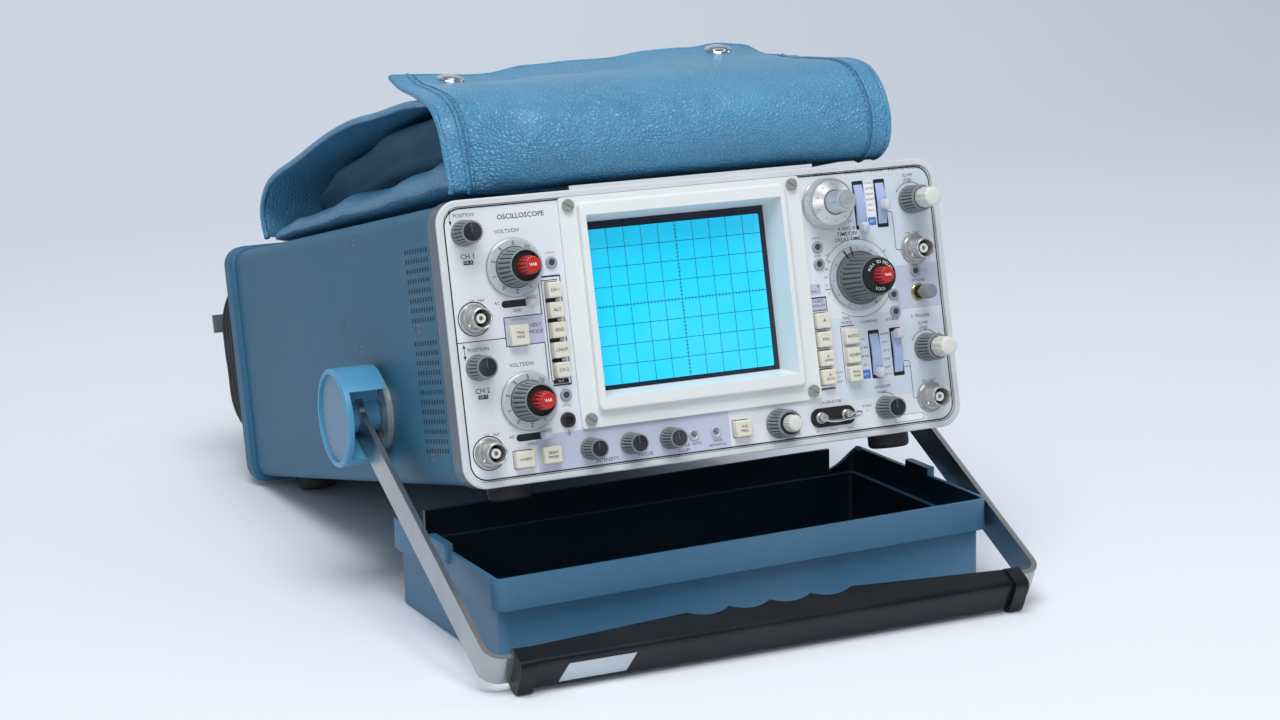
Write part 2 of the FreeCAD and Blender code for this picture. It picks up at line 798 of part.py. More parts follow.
def rubber_feet():
    """Four round feet under the cabinet."""
    solids = []
    for side in (-1, 1):
        for y in (front_foot_y, rear_foot_y):
            foot = Part.makeCylinder(foot_radius, foot_height, Vector(side * foot_x, y,
                                     case_bottom - foot_height), Vector(0, 0, 1))
            rim = [edge for edge in foot.Edges if edge.BoundBox.ZMax < case_bottom - foot_height + 0.1]
            solids.append(foot.makeFillet(foot_edge_round, rim))
    return solids


# ---- rear panel and cord ----------------------------------------------------------------------

def rear_plate():
    """The flat plate that closes the cabinet."""
    edge = 4.0
    return soft_block(-case_half_width + edge, case_half_width - edge,
                      post_root - rear_panel_thickness, post_root, case_bottom + edge,
                      case_top - edge, case_round - 2)


def quarter_post(x_sign, z, z_sign, radius, y0, y1):
    """A quarter-round block whose curve faces outwards."""
    disc = rod(x_sign * post_x, z, radius, y0, y1)
    x0, x1 = sorted((x_sign * post_x, x_sign * (post_x + radius + 1)))
    z0, z1 = sorted((z, z + z_sign * (radius + 1)))
    return disc.common(box(x0, x1, y0, y1, z0, z1))


def cord_post(x_sign, z, z_sign):
    """A post for the cord with an ear that keeps the turns on it."""
    body = quarter_post(x_sign, z, z_sign, post_radius, post_root, post_end)
    x0, x1 = sorted((x_sign * post_x, x_sign * (post_x + post_radius)))
    z0, z1 = sorted((z, z - z_sign * post_skirt))
    root = box(x0, x1, post_root, post_end, z0, z1)
    ear_end = post_end + post_ear_thickness
    if z_sign > 0:
        x0, x1 = sorted((x_sign * (post_x + post_ear_width), x_sign * (post_x + post_radius + post_ear_lip)))
        ear = box(x0, x1, post_end, ear_end, z, z + post_ear_width)
    else:
        x0, x1 = sorted((x_sign * post_x, x_sign * (post_x + post_ear_width)))
        ear = box(x0, x1, post_end, ear_end, z - post_radius - post_ear_lip / 2, z)
    return fused([body, root, ear])


def rear_panel():
    """The rear plate with its four cord posts and the cord's gland."""
    pieces = [rear_plate()]
    for side in (-1, 1):
        pieces.append(cord_post(side, post_high_z, 1))
        pieces.append(cord_post(side, post_low_z, -1))
    layer = post_root + cord_first_layer
    gland = cross_rod(gland_x, gland_x + gland_length, layer, gland_z, gland_radius)
    foot = box(gland_x + 4, gland_x + gland_length, post_root - 1, layer, gland_z - gland_radius,
               gland_z + gland_radius)
    return [fused(pieces + [gland, foot])]


def cord_route():
    """The cord's points: out of the gland, round the four posts, and up on to the turns to the plug."""
    layer = post_root + cord_first_layer
    bottom = post_low_z - winding_reach
    route = [Vector(gland_x, layer, gland_z), Vector(50, layer, gland_z),
             Vector(26, layer, gland_z - 5.0), Vector(0, layer, bottom + 2.0),
             Vector(-48, layer - 0.4, bottom - 0.2)]
    chamfer = winding_reach * math.tan(math.radians(22.5))
    corners = ((-1, -1), (-1, 1), (1, 1), (1, -1))
    for turn in range(cord_turns):
        for index, (side, end) in enumerate(corners):
            y = layer + (turn + index / 4.0) * cord_layer_pitch
            x = side * (post_x + winding_reach)
            z = (post_high_z + winding_reach) if end > 0 else bottom
            flat = Vector(side * (post_x + chamfer), y, z)
            upright = Vector(x, y + cord_layer_pitch / 16, (post_high_z + chamfer) if end > 0
                             else (post_low_z - chamfer))
            leaving_flat = index in (0, 2)
            route += [flat, upright] if leaving_flat else [upright, flat]
    last = layer + cord_turns * cord_layer_pitch
    route += [Vector(89, last - 0.4, bottom + 0.1), Vector(70, last - 4.2, bottom + 6.4),
              Vector(44, last - 9.5, bottom + 11.0), Vector(14, last - 12.5, bottom + 12.8),
              Vector(-20, last - 13.5, bottom + 13.2)]
    return route


def rounded_path(points):
    """Straight runs joined by tangent arcs, with the radius of each arc."""
    edges = []
    radii = []
    start = points[0]
    for before, corner, after in zip(points, points[1:], points[2:]):
        back = before - corner
        ahead = after - corner
        shorter = min(back.Length, ahead.Length)
        turn = math.pi - back.getAngle(ahead)
        cut = 0.45 * shorter
        back.normalize()
        ahead.normalize()
        arc_start = corner + back * cut
        arc_end = corner + ahead * cut
        radius = cut / math.tan(turn / 2)
        inward = back + ahead
        inward.normalize()
        middle = corner + inward * (radius / math.cos(turn / 2) - radius)
        edges.append(Part.makeLine(start, arc_start))
        edges.append(Part.Arc(arc_start, middle, arc_end).toShape())
        radii.append(radius)
        start = arc_end
    edges.append(Part.makeLine(start, points[-1]))
    return Part.Wire(edges), radii


def power_cord():
    """The cord as a tube along its route."""
    points = cord_route()
    path, radii = rounded_path(points)
    first = points[1] - points[0]
    section = Part.Wire([Part.Circle(points[0], first, cord_diameter / 2).toShape()])
    tube = path.makePipeShell([section], True, False)
    area = math.pi * (cord_diameter / 2) ** 2
    print("cord length %.0f, smallest radius %.1f, volume ratio %.4f"
          % (path.Length, min(radii), tube.Volume / (area * path.Length)))
    return [tube]


def power_plug():
    """A three-pin plug at the cord's end, lying on the bottom turns."""
    end = cord_route()[-1]
    radius = cord_diameter / 2
    boot_end = -plug_boot_length
    boot = Part.makeCone(radius + 1.2, plug_height / 2 - 1, plug_boot_length, Vector(0, 0, 0),
                         Vector(-1, 0, 0))
    body = soft_block(boot_end - plug_length, boot_end, -plug_width / 2, plug_width / 2,
                      -plug_height / 2, plug_height / 2, 4.0, Vector(1, 0, 0))
    prong_x = boot_end - plug_length - plug_prong_length
    pieces = [boot, body, box(prong_x, boot_end - plug_length, -7.0, -5.4, -1.0, 5.0),
              box(prong_x, boot_end - plug_length, 5.4, 7.0, -1.0, 5.0),
              cross_rod(prong_x, boot_end - plug_length, 0, -5.0, 2.3)]
    plug = fused(pieces)
    turn = FreeCAD.Rotation(Vector(-1, 0, 0), end - cord_route()[-2])
    plug.rotate(Vector(0, 0, 0), turn.Axis, math.degrees(turn.Angle))
    plug.translate(end)
    return [plug]


# ---- handle -----------------------------------------------------------------------------------
# The handle is drawn with its arms straight forwards from a hub axis at the origin, then turned
# down to the stand position.

def hub_bore_end():
    """The X at which the hub's bore for the axle ends."""
    return hub_outer_x - hub_dish_depth - 3.0


def to_stand(shape):
    """Turn a handle piece down to the stand position and put it on the hub axis."""
    shape.rotate(Vector(0, 0, 0), Vector(1, 0, 0), stand_angle)
    shape.translate(Vector(0, hub_y, hub_z))
    return shape


def bail_strip(half, reach, bend):
    """A U-shaped plate as wide as the arms, filled to the given half width and reach."""
    shape = box(-half, half, -reach, 0, -arm_width / 2, arm_width / 2)
    corners = [edge for edge in edges_along(shape, Vector(0, 0, 1)) if edge.BoundBox.YMax < -reach + 0.1]
    return shape.makeFillet(bend, corners)


def bail_shape():
    """The flat bar bent into a U."""
    outer = bail_strip(arm_outer_x, arm_reach + arm_thickness / 2, arm_bend_radius)
    inner = bail_strip(arm_outer_x - arm_thickness, arm_reach - arm_thickness / 2,
                       arm_bend_radius - arm_thickness)
    bar = outer.cut(inner)
    boss = cross_rod(arm_outer_x - arm_thickness, arm_outer_x, 0, 0, arm_width / 2 + 3)
    ends = [boss, mirrored_x(boss)]
    hole = cross_rod(-arm_outer_x - 1, arm_outer_x + 1, 0, 0, hub_seat_radius())
    return fused([bar] + ends).cut(hole)


def hub_seat_radius():
    """The radius of the hub's inner boss, which the bar's ends fit round."""
    return axle_radius + axle_clearance + 2.0


def handle_bail():
    """The bar at its stand position."""
    return [to_stand(bail_shape())]


def grip_outline(inner_edge):
    """The grip's outline seen from above: straight in front, finger scallops behind."""
    front = -arm_reach - grip_front_depth
    back = -arm_reach + grip_rear_depth
    crest = back + inner_edge
    start = -finger_count * finger_pitch / 2
    half = grip_half_length - grip_collar_length
    edges = [Part.makeLine(Vector(half, back, 0), Vector(half, front, 0)),
             Part.makeLine(Vector(half, front, 0), Vector(-half, front, 0)),
             Part.makeLine(Vector(-half, front, 0), Vector(-half, back, 0)),
             Part.makeLine(Vector(-half, back, 0), Vector(start, crest, 0))]
    for finger in range(finger_count):
        x0 = start + finger * finger_pitch
        x1 = x0 + finger_pitch
        middle = Vector((x0 + x1) / 2, crest - finger_depth, 0)
        edges.append(Part.Arc(Vector(x0, crest, 0), middle, Vector(x1, crest, 0)).toShape())
    edges.append(Part.makeLine(Vector(-start, crest, 0), Vector(half, back, 0)))
    return Part.Wire(edges)


def handle_grip():
    """The moulded grip with finger scallops and a collar at each end."""
    face = Part.Face(grip_outline(finger_rise))
    face.translate(Vector(0, 0, -grip_half_thickness))
    bar = face.extrude(Vector(0, 0, 2 * grip_half_thickness))
    front = -arm_reach - grip_front_depth
    front_edges = [edge for edge in edges_along(bar, Vector(1, 0, 0)) if edge.BoundBox.YMax < front + 0.1]
    bar = bar.makeFillet(grip_edge_round, front_edges)
    pieces = [bar]
    collar_front = -arm_reach - grip_front_depth - grip_collar_front
    collar_back = -arm_reach + grip_rear_depth + grip_collar_proud
    half_thickness = grip_half_thickness + grip_collar_proud
    for side in (-1, 1):
        x0, x1 = sorted((side * (grip_half_length - grip_collar_length), side * grip_half_length))
        pieces.append(soft_block(x0, x1, collar_front, collar_back, -half_thickness, half_thickness,
                                 grip_collar_round, Vector(1, 0, 0)))
    grip = fused(pieces).cut(bail_shape())
    return [to_stand(grip)]


def handle_hubs():
    """The two round hubs that the arms enter through a window."""
    drum = cross_rod(hub_inner_x, hub_outer_x, 0, 0, hub_radius)
    rim = [edge for edge in drum.Edges if edge.BoundBox.XMin > hub_outer_x - 0.1]
    drum = drum.makeFillet(1.5, rim)
    dish = cross_rod(hub_outer_x - hub_dish_depth, hub_outer_x + 1, 0, 0, hub_dish_radius)
    window = box(hub_inner_x - 1, hub_window_outer_x, -hub_radius - 1, 0, hub_window_bottom,
                 hub_window_top)
    boss = cross_rod(hub_inner_x, hub_window_outer_x + 0.1, 0, 0, hub_seat_radius())
    bore = cross_rod(hub_inner_x - 1, hub_bore_end(), 0, 0, axle_radius + axle_clearance)
    seat = cross_rod(arm_outer_x - arm_thickness, arm_outer_x, 0, 0, arm_width / 2 + 3)
    hub = fused([drum.cut([dish, window, seat]), boss]).cut([bore, bail_shape()])
    return [to_stand(hub.copy()), to_stand(mirrored_x(hub))]


# ---- pouch and cover ----------------------------------------------------------------------------

def storage_pouch():
    """The soft pouch as a plain closed solid on the cabinet's top."""
    low = case_top + pouch_gap
    clear = frame_height + plate_thickness + pouch_gap
    top = low + pouch_front_height
    bulge = pouch_front - pouch_bulge
    rear_top = low + pouch_rear_height
    points = [Vector(0, pouch_front, low), Vector(0, pouch_front, clear), Vector(0, 2.0, clear),
              Vector(0, bulge, (clear + top) / 2 - 4), Vector(0, bulge + 7, top - 12),
              Vector(0, 34, top), Vector(0, 130, top - 1.5), Vector(0, 230, top - 9),
              Vector(0, 310, rear_top), Vector(0, pouch_rear - 4, low + 22),
              Vector(0, pouch_rear, low + 10), Vector(0, pouch_rear - 6, low),
              Vector(0, pouch_front, low)]
    face = Part.Face(Part.makePolygon(points))
    face.translate(Vector(pouch_left, 0, 0))
    return [face.extrude(Vector(pouch_right - pouch_left, 0, 0))]


def cover_wall_notches():
    """Cutters for the two foot notches in the rear wall: square outside, hollowed inside."""
    cutters = []
    for side in (-1, 1):
        inner = side * (cover_notch_x - cover_notch_width / 2)
        outer = side * (cover_notch_x + cover_notch_width / 2)
        low = cover_height - cover_notch_depth
        middle = Vector((inner * 0.35 + outer * 0.65), 0, low + cover_notch_depth * 0.48)
        edges = [Part.makeLine(Vector(inner, 0, cover_height + 5), Vector(inner, 0, low)),
                 Part.Arc(Vector(inner, 0, low), middle, Vector(outer, 0, cover_height)).toShape(),
                 Part.makeLine(Vector(outer, 0, cover_height), Vector(outer, 0, cover_height + 5)),
                 Part.makeLine(Vector(outer, 0, cover_height + 5), Vector(inner, 0, cover_height + 5))]
        cutter = Part.Face(Part.Wire(edges)).extrude(Vector(0, cover_rim_step + cover_wall + 8, 0))
        cutter.translate(Vector(0, cover_depth - cover_rim_step - cover_wall - 4, 0))
        cutters.append(cutter)
    return cutters


def cover_shape():
    """The front cover upside down: a tray with a stepped rim, drawn from its front left corner."""
    half = cover_width / 2
    step = cover_rim_step
    up = Vector(0, 0, 1)
    rim_low = cover_height - cover_rim_height
    body = soft_block(-half + step, half - step, step, cover_depth - step, 0, rim_low + 1,
                      cover_round - 2, up)
    base = [edge for edge in body.Edges if edge.BoundBox.ZMax < 0.1]
    body = body.makeFillet(2.0, base)
    rim = soft_block(-half, half, 0, cover_depth, rim_low + cover_groove, cover_height, cover_round, up)
    groove = soft_block(-half + step + 1.2, half - step - 1.2, step + 1.2, cover_depth - step - 1.2,
                        rim_low - 1, rim_low + cover_groove + 1, cover_round - 3, up)
    inside = soft_block(-half + step + cover_wall, half - step - cover_wall, step + cover_wall,
                        cover_depth - step - cover_wall, cover_floor, cover_height + 1,
                        cover_round - 4, up)
    mouth = soft_block(-half + cover_wall, half - cover_wall, cover_wall, cover_depth - cover_wall,
                       rim_low + cover_groove + 1.8, cover_height + 1, cover_round - 3, up)
    shape = fused([body, groove, rim]).cut([inside, mouth] + cover_wall_notches())
    tabs = []
    for side in (-1, 1):
        x0, x1 = sorted((side * (half - cover_wall), side * (half - cover_wall + cover_tab_thickness)))
        y0 = cover_depth / 2 - cover_tab_length / 2
        tabs.append(soft_block(x0, x1, y0, y0 + cover_tab_length, cover_height - 6,
                               cover_height + cover_tab_height, 1.5, up))
    return fused([shape] + tabs)


def front_cover():
    """The cover where it lies: on the floor, under the front, a little turned."""
    shape = cover_shape()
    shape.rotate(Vector(0, 0, 0), Vector(0, 0, 1), cover_turn)
    shape.translate(Vector(cover_centre_x, cover_front_y, 0))
    return [shape]


# ---- standing on the floor ------------------------------------------------------------------------

def stand_contacts():
    """Centre and radius of the two rounded edges that stand on the floor: rear foot and grip."""
    foot = (rear_foot_y + foot_radius - foot_edge_round,
            case_bottom - foot_height + foot_edge_round, foot_edge_round)
    y = -(arm_reach + grip_front_depth + grip_collar_front - grip_collar_round)
    z = -(grip_half_thickness + grip_collar_proud - grip_collar_round)
    turn = math.radians(stand_angle)
    grip = (hub_y + y * math.cos(turn) - z * math.sin(turn),
            hub_z + y * math.sin(turn) + z * math.cos(turn), grip_collar_round)
    return foot, grip


def stand_tilt():
    """The backward tilt in radians at which the foot and the grip are level."""
    (y1, z1, r1), (y2, z2, r2) = stand_contacts()
    across, up = y2 - y1, z1 - z2
    return math.atan2(across, up) + math.acos((r1 - r2) / math.hypot(across, up))


def tilted(y, z):
    """A point of the instrument after it is tilted back, before it is lifted."""
    tilt = stand_tilt()
    return y * math.cos(tilt) + z * math.sin(tilt), z * math.cos(tilt) - y * math.sin(tilt)


def stand_height():
    """How far the tilted instrument is lifted to stand on the floor."""
    y, z, radius = stand_contacts()[0]
    return radius - tilted(y, z)[1]


def on_stand(shape):
    """Tilt a piece of the instrument back and lift it on to the floor."""
    shape.rotate(Vector(0, 0, 0), Vector(1, 0, 0), -math.degrees(stand_tilt()))
    shape.translate(Vector(0, 0, stand_height()))
    return shape


def build():
    """Every sub-part's solids, standing on the floor, before the last shift to the origin."""
    parts = {
        "cabinet_sleeve": cabinet_sleeve(), "front_frame": front_frame(),
        "front_panel": front_panel(), "crt_bezel": crt_bezel(), "display_tube": display_tube(),
        "chassis": chassis(), "panel_fittings": panel_fittings(), "fixings": fixings(),
        "rubber_feet": rubber_feet(), "rear_panel": rear_panel(), "power_cord": power_cord(),
        "power_plug": power_plug(), "handle_bail": handle_bail(), "handle_grip": handle_grip(),
        "handle_hubs": handle_hubs(), "storage_pouch": storage_pouch(),
    }
    for name, place, steps, shaft, bore, turn in knob_table():
        parts[name] = [knob(place, steps, shaft, bore)]
    for name, place, size in button_table():
        parts[name] = [button(place, size)]
    parts["power_button"] = [power_button()]
    for name, centre, direction, length, rest in lever_table():
        parts[name] = [lever(centre, direction, rest)]
    for solids in parts.values():
        for solid in solids:
            on_stand(solid)
    parts["front_cover"] = front_cover()
    return parts


def origin_shift(parts):
    """The move that puts the origin at the centre of the bottom of the part's box, cord left out."""
    whole = FreeCAD.BoundBox()
    for name, solids in parts.items():
        if name not in ("power_cord", "power_plug"):
            for solid in solids:
                whole.add(solid.optimalBoundingBox(False, False))
    return Vector(-(whole.XMin + whole.XMax) / 2, -(whole.YMin + whole.YMax) / 2, -whole.ZMin)


def main():
    os.makedirs("parts", exist_ok=True)
    parts = build()
    shift = origin_shift(parts)
    for name, solids in parts.items():
        for solid in solids:
            solid.translate(shift)
        shape = solids[0] if len(solids) == 1 else Part.makeCompound(solids)
        shape.exportStep("parts/%s.step" % name)
    print("tilt %.3f degrees, lift %.3f, shift %s, %d nodes"
          % (math.degrees(stand_tilt()), stand_height(), tuple(shift), len(parts)))


if __name__ == "__main__":
    main()
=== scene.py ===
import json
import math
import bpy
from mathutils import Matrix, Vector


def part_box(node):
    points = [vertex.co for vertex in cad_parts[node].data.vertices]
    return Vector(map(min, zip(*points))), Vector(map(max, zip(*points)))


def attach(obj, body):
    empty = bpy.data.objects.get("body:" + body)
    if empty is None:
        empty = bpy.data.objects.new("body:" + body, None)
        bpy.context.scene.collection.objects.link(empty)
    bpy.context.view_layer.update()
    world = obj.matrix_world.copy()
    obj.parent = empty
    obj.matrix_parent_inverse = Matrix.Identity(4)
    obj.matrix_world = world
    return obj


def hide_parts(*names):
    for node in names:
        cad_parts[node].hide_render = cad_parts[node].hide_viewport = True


bl_info = {
    "name": "Portable Oscilloscope",
    "version": (1, 0, 0),
    "blender": (4, 5, 0),
    "location": "3D View > Sidebar > Oscilloscope",
    "description": "Finishes and fine parts for a portable two-channel oscilloscope on its handle",
    "category": "Object",
}

import bmesh
import bpy
from bpy.props import FloatProperty, FloatVectorProperty, IntProperty, PointerProperty
from mathutils import Matrix, Vector, noise

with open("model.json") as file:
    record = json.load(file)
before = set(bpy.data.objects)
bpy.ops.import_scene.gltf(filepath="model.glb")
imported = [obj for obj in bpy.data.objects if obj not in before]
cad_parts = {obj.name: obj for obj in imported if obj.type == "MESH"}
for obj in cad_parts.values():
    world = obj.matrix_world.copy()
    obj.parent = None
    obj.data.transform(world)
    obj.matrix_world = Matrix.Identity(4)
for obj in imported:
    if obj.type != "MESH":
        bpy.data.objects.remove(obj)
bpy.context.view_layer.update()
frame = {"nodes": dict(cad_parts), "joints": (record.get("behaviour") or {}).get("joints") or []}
NODES = frame["nodes"]
JOINTS = {joint["name"]: joint for joint in frame["joints"]}

# ---- the instrument's own frame: X right, Y to the rear, Z up, in millimetres -------------------
MM = 0.001
HUB_Y, HUB_Z = 124.0, 40.3
REARWARD = Vector(JOINTS["intensity_turn"]["axis"])
UPWARD = Vector((1, 0, 0)).cross(REARWARD)
HUB_AXIS = Vector(JOINTS["handle_swing"]["pos_m"])
CORNER = HUB_AXIS - REARWARD * HUB_Y * MM - UPWARD * HUB_Z * MM
TURN = Matrix((Vector((1, 0, 0)), REARWARD, UPWARD)).transposed().to_4x4()
INSTRUMENT = Matrix.Translation(CORNER) @ TURN @ Matrix.Scale(MM, 4)
FROM_ROW = INSTRUMENT.inverted()

FRAME_HEIGHT = 144.0
CASE_HALF = 140.5
CASE_TOP = 142.5
PANEL_FACE = 1.2
PRINT_LIFT = 0.06
SCREEN_X, SCREEN_Z = -8.5, 84.2
WINDOW_WIDTH, WINDOW_HEIGHT = 104.0, 86.5
FILTER_FACE = 13.0
HUB_OUTER = 168.0
POST_ROOT = 392.0
POST_X, POST_HIGH, POST_LOW = 94.0, 94.0, 56.0
STAND_ANGLE = math.radians(37.86)


def linear(red, green, blue):
    """A colour written as it looks on a screen, from 0 to 255, as linear light."""
    values = []
    for value in (red, green, blue):
        share = value / 255.0
        values.append(share / 12.92 if share <= 0.04045 else ((share + 0.055) / 1.055) ** 2.4)
    return tuple(values)


def rgba(colour):
    return (colour[0], colour[1], colour[2], 1.0)


# ---- what a user would change -------------------------------------------------------------------

def colour_choice(name, description, default):
    return FloatVectorProperty(name=name, description=description, subtype="COLOR", size=3,
                               min=0.0, max=1.0, default=linear(*default))


class ScopeColours(bpy.types.PropertyGroup):
    """The colours of the oscilloscope's finishes."""
    cabinet: colour_choice("Cabinet", "Textured paint of the cabinet", (43, 102, 132))
    hub: colour_choice("Hubs", "Moulded hubs of the handle", (80, 150, 188))
    cover: colour_choice("Cover", "Moulded front cover", (62, 112, 146))
    pouch: colour_choice("Pouch", "Grained sheet of the storage pouch", (78, 145, 184))
    panel: colour_choice("Panel", "Front panel's paint", (222, 226, 232))
    bezel: colour_choice("Bezel", "Display bezel", (226, 229, 228))
    screen: colour_choice("Screen", "Display face", (24, 196, 236))
    knob: colour_choice("Knobs", "Moulded knobs", (120, 126, 130))
    button: colour_choice("Buttons", "Ivory buttons", (222, 218, 202))
    grip: colour_choice("Grip", "Moulded grip of the handle", (10, 15, 20))


class ScopeSizes(bpy.types.PropertyGroup):
    """The sizes of the oscilloscope's fine parts."""
    flute_depth: FloatProperty(name="Flute depth", description="Depth of the grooves in a knob",
                               default=0.0007, min=0.0, max=0.002, unit="LENGTH")
    flutes: IntProperty(name="Flutes", description="Grooves round a large knob", default=24,
                        min=6, max=60)
    graticule_line: FloatProperty(name="Graticule line", description="Width of a line on the screen",
                                  default=0.0003, min=0.0001, max=0.002, unit="LENGTH")
    flap_thickness: FloatProperty(name="Flap thickness", description="Thickness of the pouch's flap",
                                  default=0.0024, min=0.001, max=0.006, unit="LENGTH")
    stitch_pitch: FloatProperty(name="Stitch pitch", description="Length of one stitch and its gap",
                                default=0.0042, min=0.002, max=0.01, unit="LENGTH")


def colours():
    return bpy.context.scene.scope_colours


def sizes():
    return bpy.context.scene.scope_sizes


# ---- effects shared by several finishes ---------------------------------------------------------

def effect(name, inputs):
    """A shader node group with named inputs, and the colour, roughness and height that it puts out."""
    group = bpy.data.node_groups.get(name)
    if group:
        return group, None, None, True
    group = bpy.data.node_groups.new(name, "ShaderNodeTree")
    for label, kind, default in inputs:
        socket = group.interface.new_socket(name=label, in_out="INPUT", socket_type=kind)
        socket.default_value = default
    group.interface.new_socket(name="Color", in_out="OUTPUT", socket_type="NodeSocketColor")
    group.interface.new_socket(name="Roughness", in_out="OUTPUT", socket_type="NodeSocketFloat")
    group.interface.new_socket(name="Height", in_out="OUTPUT", socket_type="NodeSocketFloat")
    return group, group.nodes.new("NodeGroupInput"), group.nodes.new("NodeGroupOutput"), False


def math_node(tree, operation, first, second, clamp=False):
    """A math node; each side is a socket or a number."""
    node = tree.nodes.new("ShaderNodeMath")
    node.operation = operation
    node.use_clamp = clamp
    for index, side in enumerate((first, second)):
        if isinstance(side, (int, float)):
            node.inputs[index].default_value = side
        else:
            tree.links.new(side, node.inputs[index])
    return node.outputs[0]


def mixed_colour(tree, factor, first, second, blend="MIX"):
    """A mix of two colours; each is a socket or a colour."""
    node = tree.nodes.new("ShaderNodeMix")
    node.data_type = "RGBA"
    node.blend_type = blend
    for socket, side in ((node.inputs[0], factor), (node.inputs[6], first), (node.inputs[7], second)):
        if isinstance(side, (int, float, tuple)):
            socket.default_value = side
        else:
            tree.links.new(side, socket)
    return node.outputs[2]


def object_place(tree):
    """A place on the object, in metres, that stays with the piece as it moves."""
    return tree.nodes.new("ShaderNodeTexCoord").outputs["Object"]


def distance_along(tree, place, direction):
    """How far a place lies along a direction."""
    node = tree.nodes.new("ShaderNodeVectorMath")
    node.operation = "DOT_PRODUCT"
    node.inputs[1].default_value = tuple(direction)
    tree.links.new(place, node.inputs[0])
    return node.outputs["Value"]


def speckle(tree, place, scale, detail, rough):
    """Noise at a scale in bumps to the metre; scale is a socket or a number."""
    node = tree.nodes.new("ShaderNodeTexNoise")
    node.inputs["Detail"].default_value = detail
    node.inputs["Roughness"].default_value = rough
    tree.links.new(place, node.inputs["Vector"])
    if isinstance(scale, (int, float)):
        node.inputs["Scale"].default_value = scale
    else:
        tree.links.new(scale, node.inputs["Scale"])
    return node.outputs["Fac"]


def moulded_grain():
    """Fine pebble grain with slow mottling: paint, moulded plastic and rubber."""
    group, given, out, made = effect("Moulded Grain", (
        ("Color", "NodeSocketColor", (0.5, 0.5, 0.5, 1.0)),
        ("Worn Color", "NodeSocketColor", (0.6, 0.6, 0.6, 1.0)),
        ("Wear", "NodeSocketFloat", 0.15),
        ("Roughness", "NodeSocketFloat", 0.5),
        ("Grain Scale", "NodeSocketFloat", 900.0),
        ("Mottle Scale", "NodeSocketFloat", 14.0)))
    if made:
        return group
    place = object_place(group)
    fine = speckle(group, place, given.outputs["Grain Scale"], 3.0, 0.6)
    slow = speckle(group, place, given.outputs["Mottle Scale"], 5.0, 0.62)
    mask = math_node(group, "MULTIPLY", math_node(group, "SUBTRACT", slow, 0.42), 3.0, True)
    worn = math_node(group, "MULTIPLY", mask, given.outputs["Wear"])
    group.links.new(mixed_colour(group, worn, given.outputs["Color"], given.outputs["Worn Color"]),
                    out.inputs["Color"])
    swing = math_node(group, "MULTIPLY", math_node(group, "SUBTRACT", slow, 0.5), 0.22)
    group.links.new(math_node(group, "ADD", given.outputs["Roughness"], swing), out.inputs["Roughness"])
    group.links.new(fine, out.inputs["Height"])
    return group


def leather_grain():
    """Pressed leather grain: round pebbles between branching creases."""
    group, given, out, made = effect("Leather Grain", (
        ("Color", "NodeSocketColor", (0.3, 0.4, 0.5, 1.0)),
        ("Crease Color", "NodeSocketColor", (0.2, 0.3, 0.4, 1.0)),
        ("Roughness", "NodeSocketFloat", 0.45),
        ("Grain Scale", "NodeSocketFloat", 420.0)))
    if made:
        return group
    place = object_place(group)
    bend = group.nodes.new("ShaderNodeTexNoise")
    bend.inputs["Scale"].default_value = 60.0
    group.links.new(place, bend.inputs["Vector"])
    shift = group.nodes.new("ShaderNodeVectorMath")
    shift.operation = "MULTIPLY_ADD"
    shift.inputs[1].default_value = (0.006, 0.006, 0.006)
    group.links.new(bend.outputs["Color"], shift.inputs[0])
    group.links.new(place, shift.inputs[2])
    cells = group.nodes.new("ShaderNodeTexVoronoi")
    cells.feature = "DISTANCE_TO_EDGE"
    group.links.new(shift.outputs[0], cells.inputs["Vector"])
    group.links.new(given.outputs["Grain Scale"], cells.inputs["Scale"])
    pebble = math_node(group, "MULTIPLY", cells.outputs["Distance"], 3.6, True)
    slow = speckle(group, place, 22.0, 4.0, 0.6)
    strength = math_node(group, "MULTIPLY", math_node(group, "SUBTRACT", slow, 0.1), 1.7, True)
    crease = math_node(group, "MULTIPLY", math_node(group, "SUBTRACT", 1.0, pebble), strength)
    group.links.new(mixed_colour(group, math_node(group, "MULTIPLY", crease, 0.22),
                                 given.outputs["Color"], given.outputs["Crease Color"]),
                    out.inputs["Color"])
    rough = math_node(group, "ADD", given.outputs["Roughness"], math_node(group, "MULTIPLY", crease, 0.2))
    group.links.new(rough, out.inputs["Roughness"])
    height = math_node(group, "MULTIPLY", pebble, strength)
    group.links.new(math_node(group, "ADD", height, math_node(group, "MULTIPLY", slow, 0.6)),
                    out.inputs["Height"])
    return group


def brushed_grain():
    """Fine lines left by brushing or turning, with a little tarnish."""
    group, given, out, made = effect("Brushed Grain", (
        ("Color", "NodeSocketColor", (0.6, 0.6, 0.6, 1.0)),
        ("Tarnish Color", "NodeSocketColor", (0.4, 0.4, 0.4, 1.0)),
        ("Roughness", "NodeSocketFloat", 0.3),
        ("Lines", "NodeSocketVector", (2000.0, 60.0, 60.0))))
    if made:
        return group
    place = object_place(group)
    scaled = group.nodes.new("ShaderNodeVectorMath")
    scaled.operation = "MULTIPLY"
    group.links.new(place, scaled.inputs[0])
    group.links.new(given.outputs["Lines"], scaled.inputs[1])
    lines = speckle(group, scaled.outputs[0], 1.0, 4.0, 0.6)
    slow = speckle(group, place, 35.0, 4.0, 0.6)
    mask = math_node(group, "MULTIPLY", math_node(group, "SUBTRACT", slow, 0.42), 1.6, True)
    group.links.new(mixed_colour(group, mask, given.outputs["Color"], given.outputs["Tarnish Color"]),
                    out.inputs["Color"])
    swing = math_node(group, "MULTIPLY", math_node(group, "SUBTRACT", lines, 0.5), 0.3)
    group.links.new(math_node(group, "ADD", given.outputs["Roughness"], swing), out.inputs["Roughness"])
    group.links.new(lines, out.inputs["Height"])
    return group


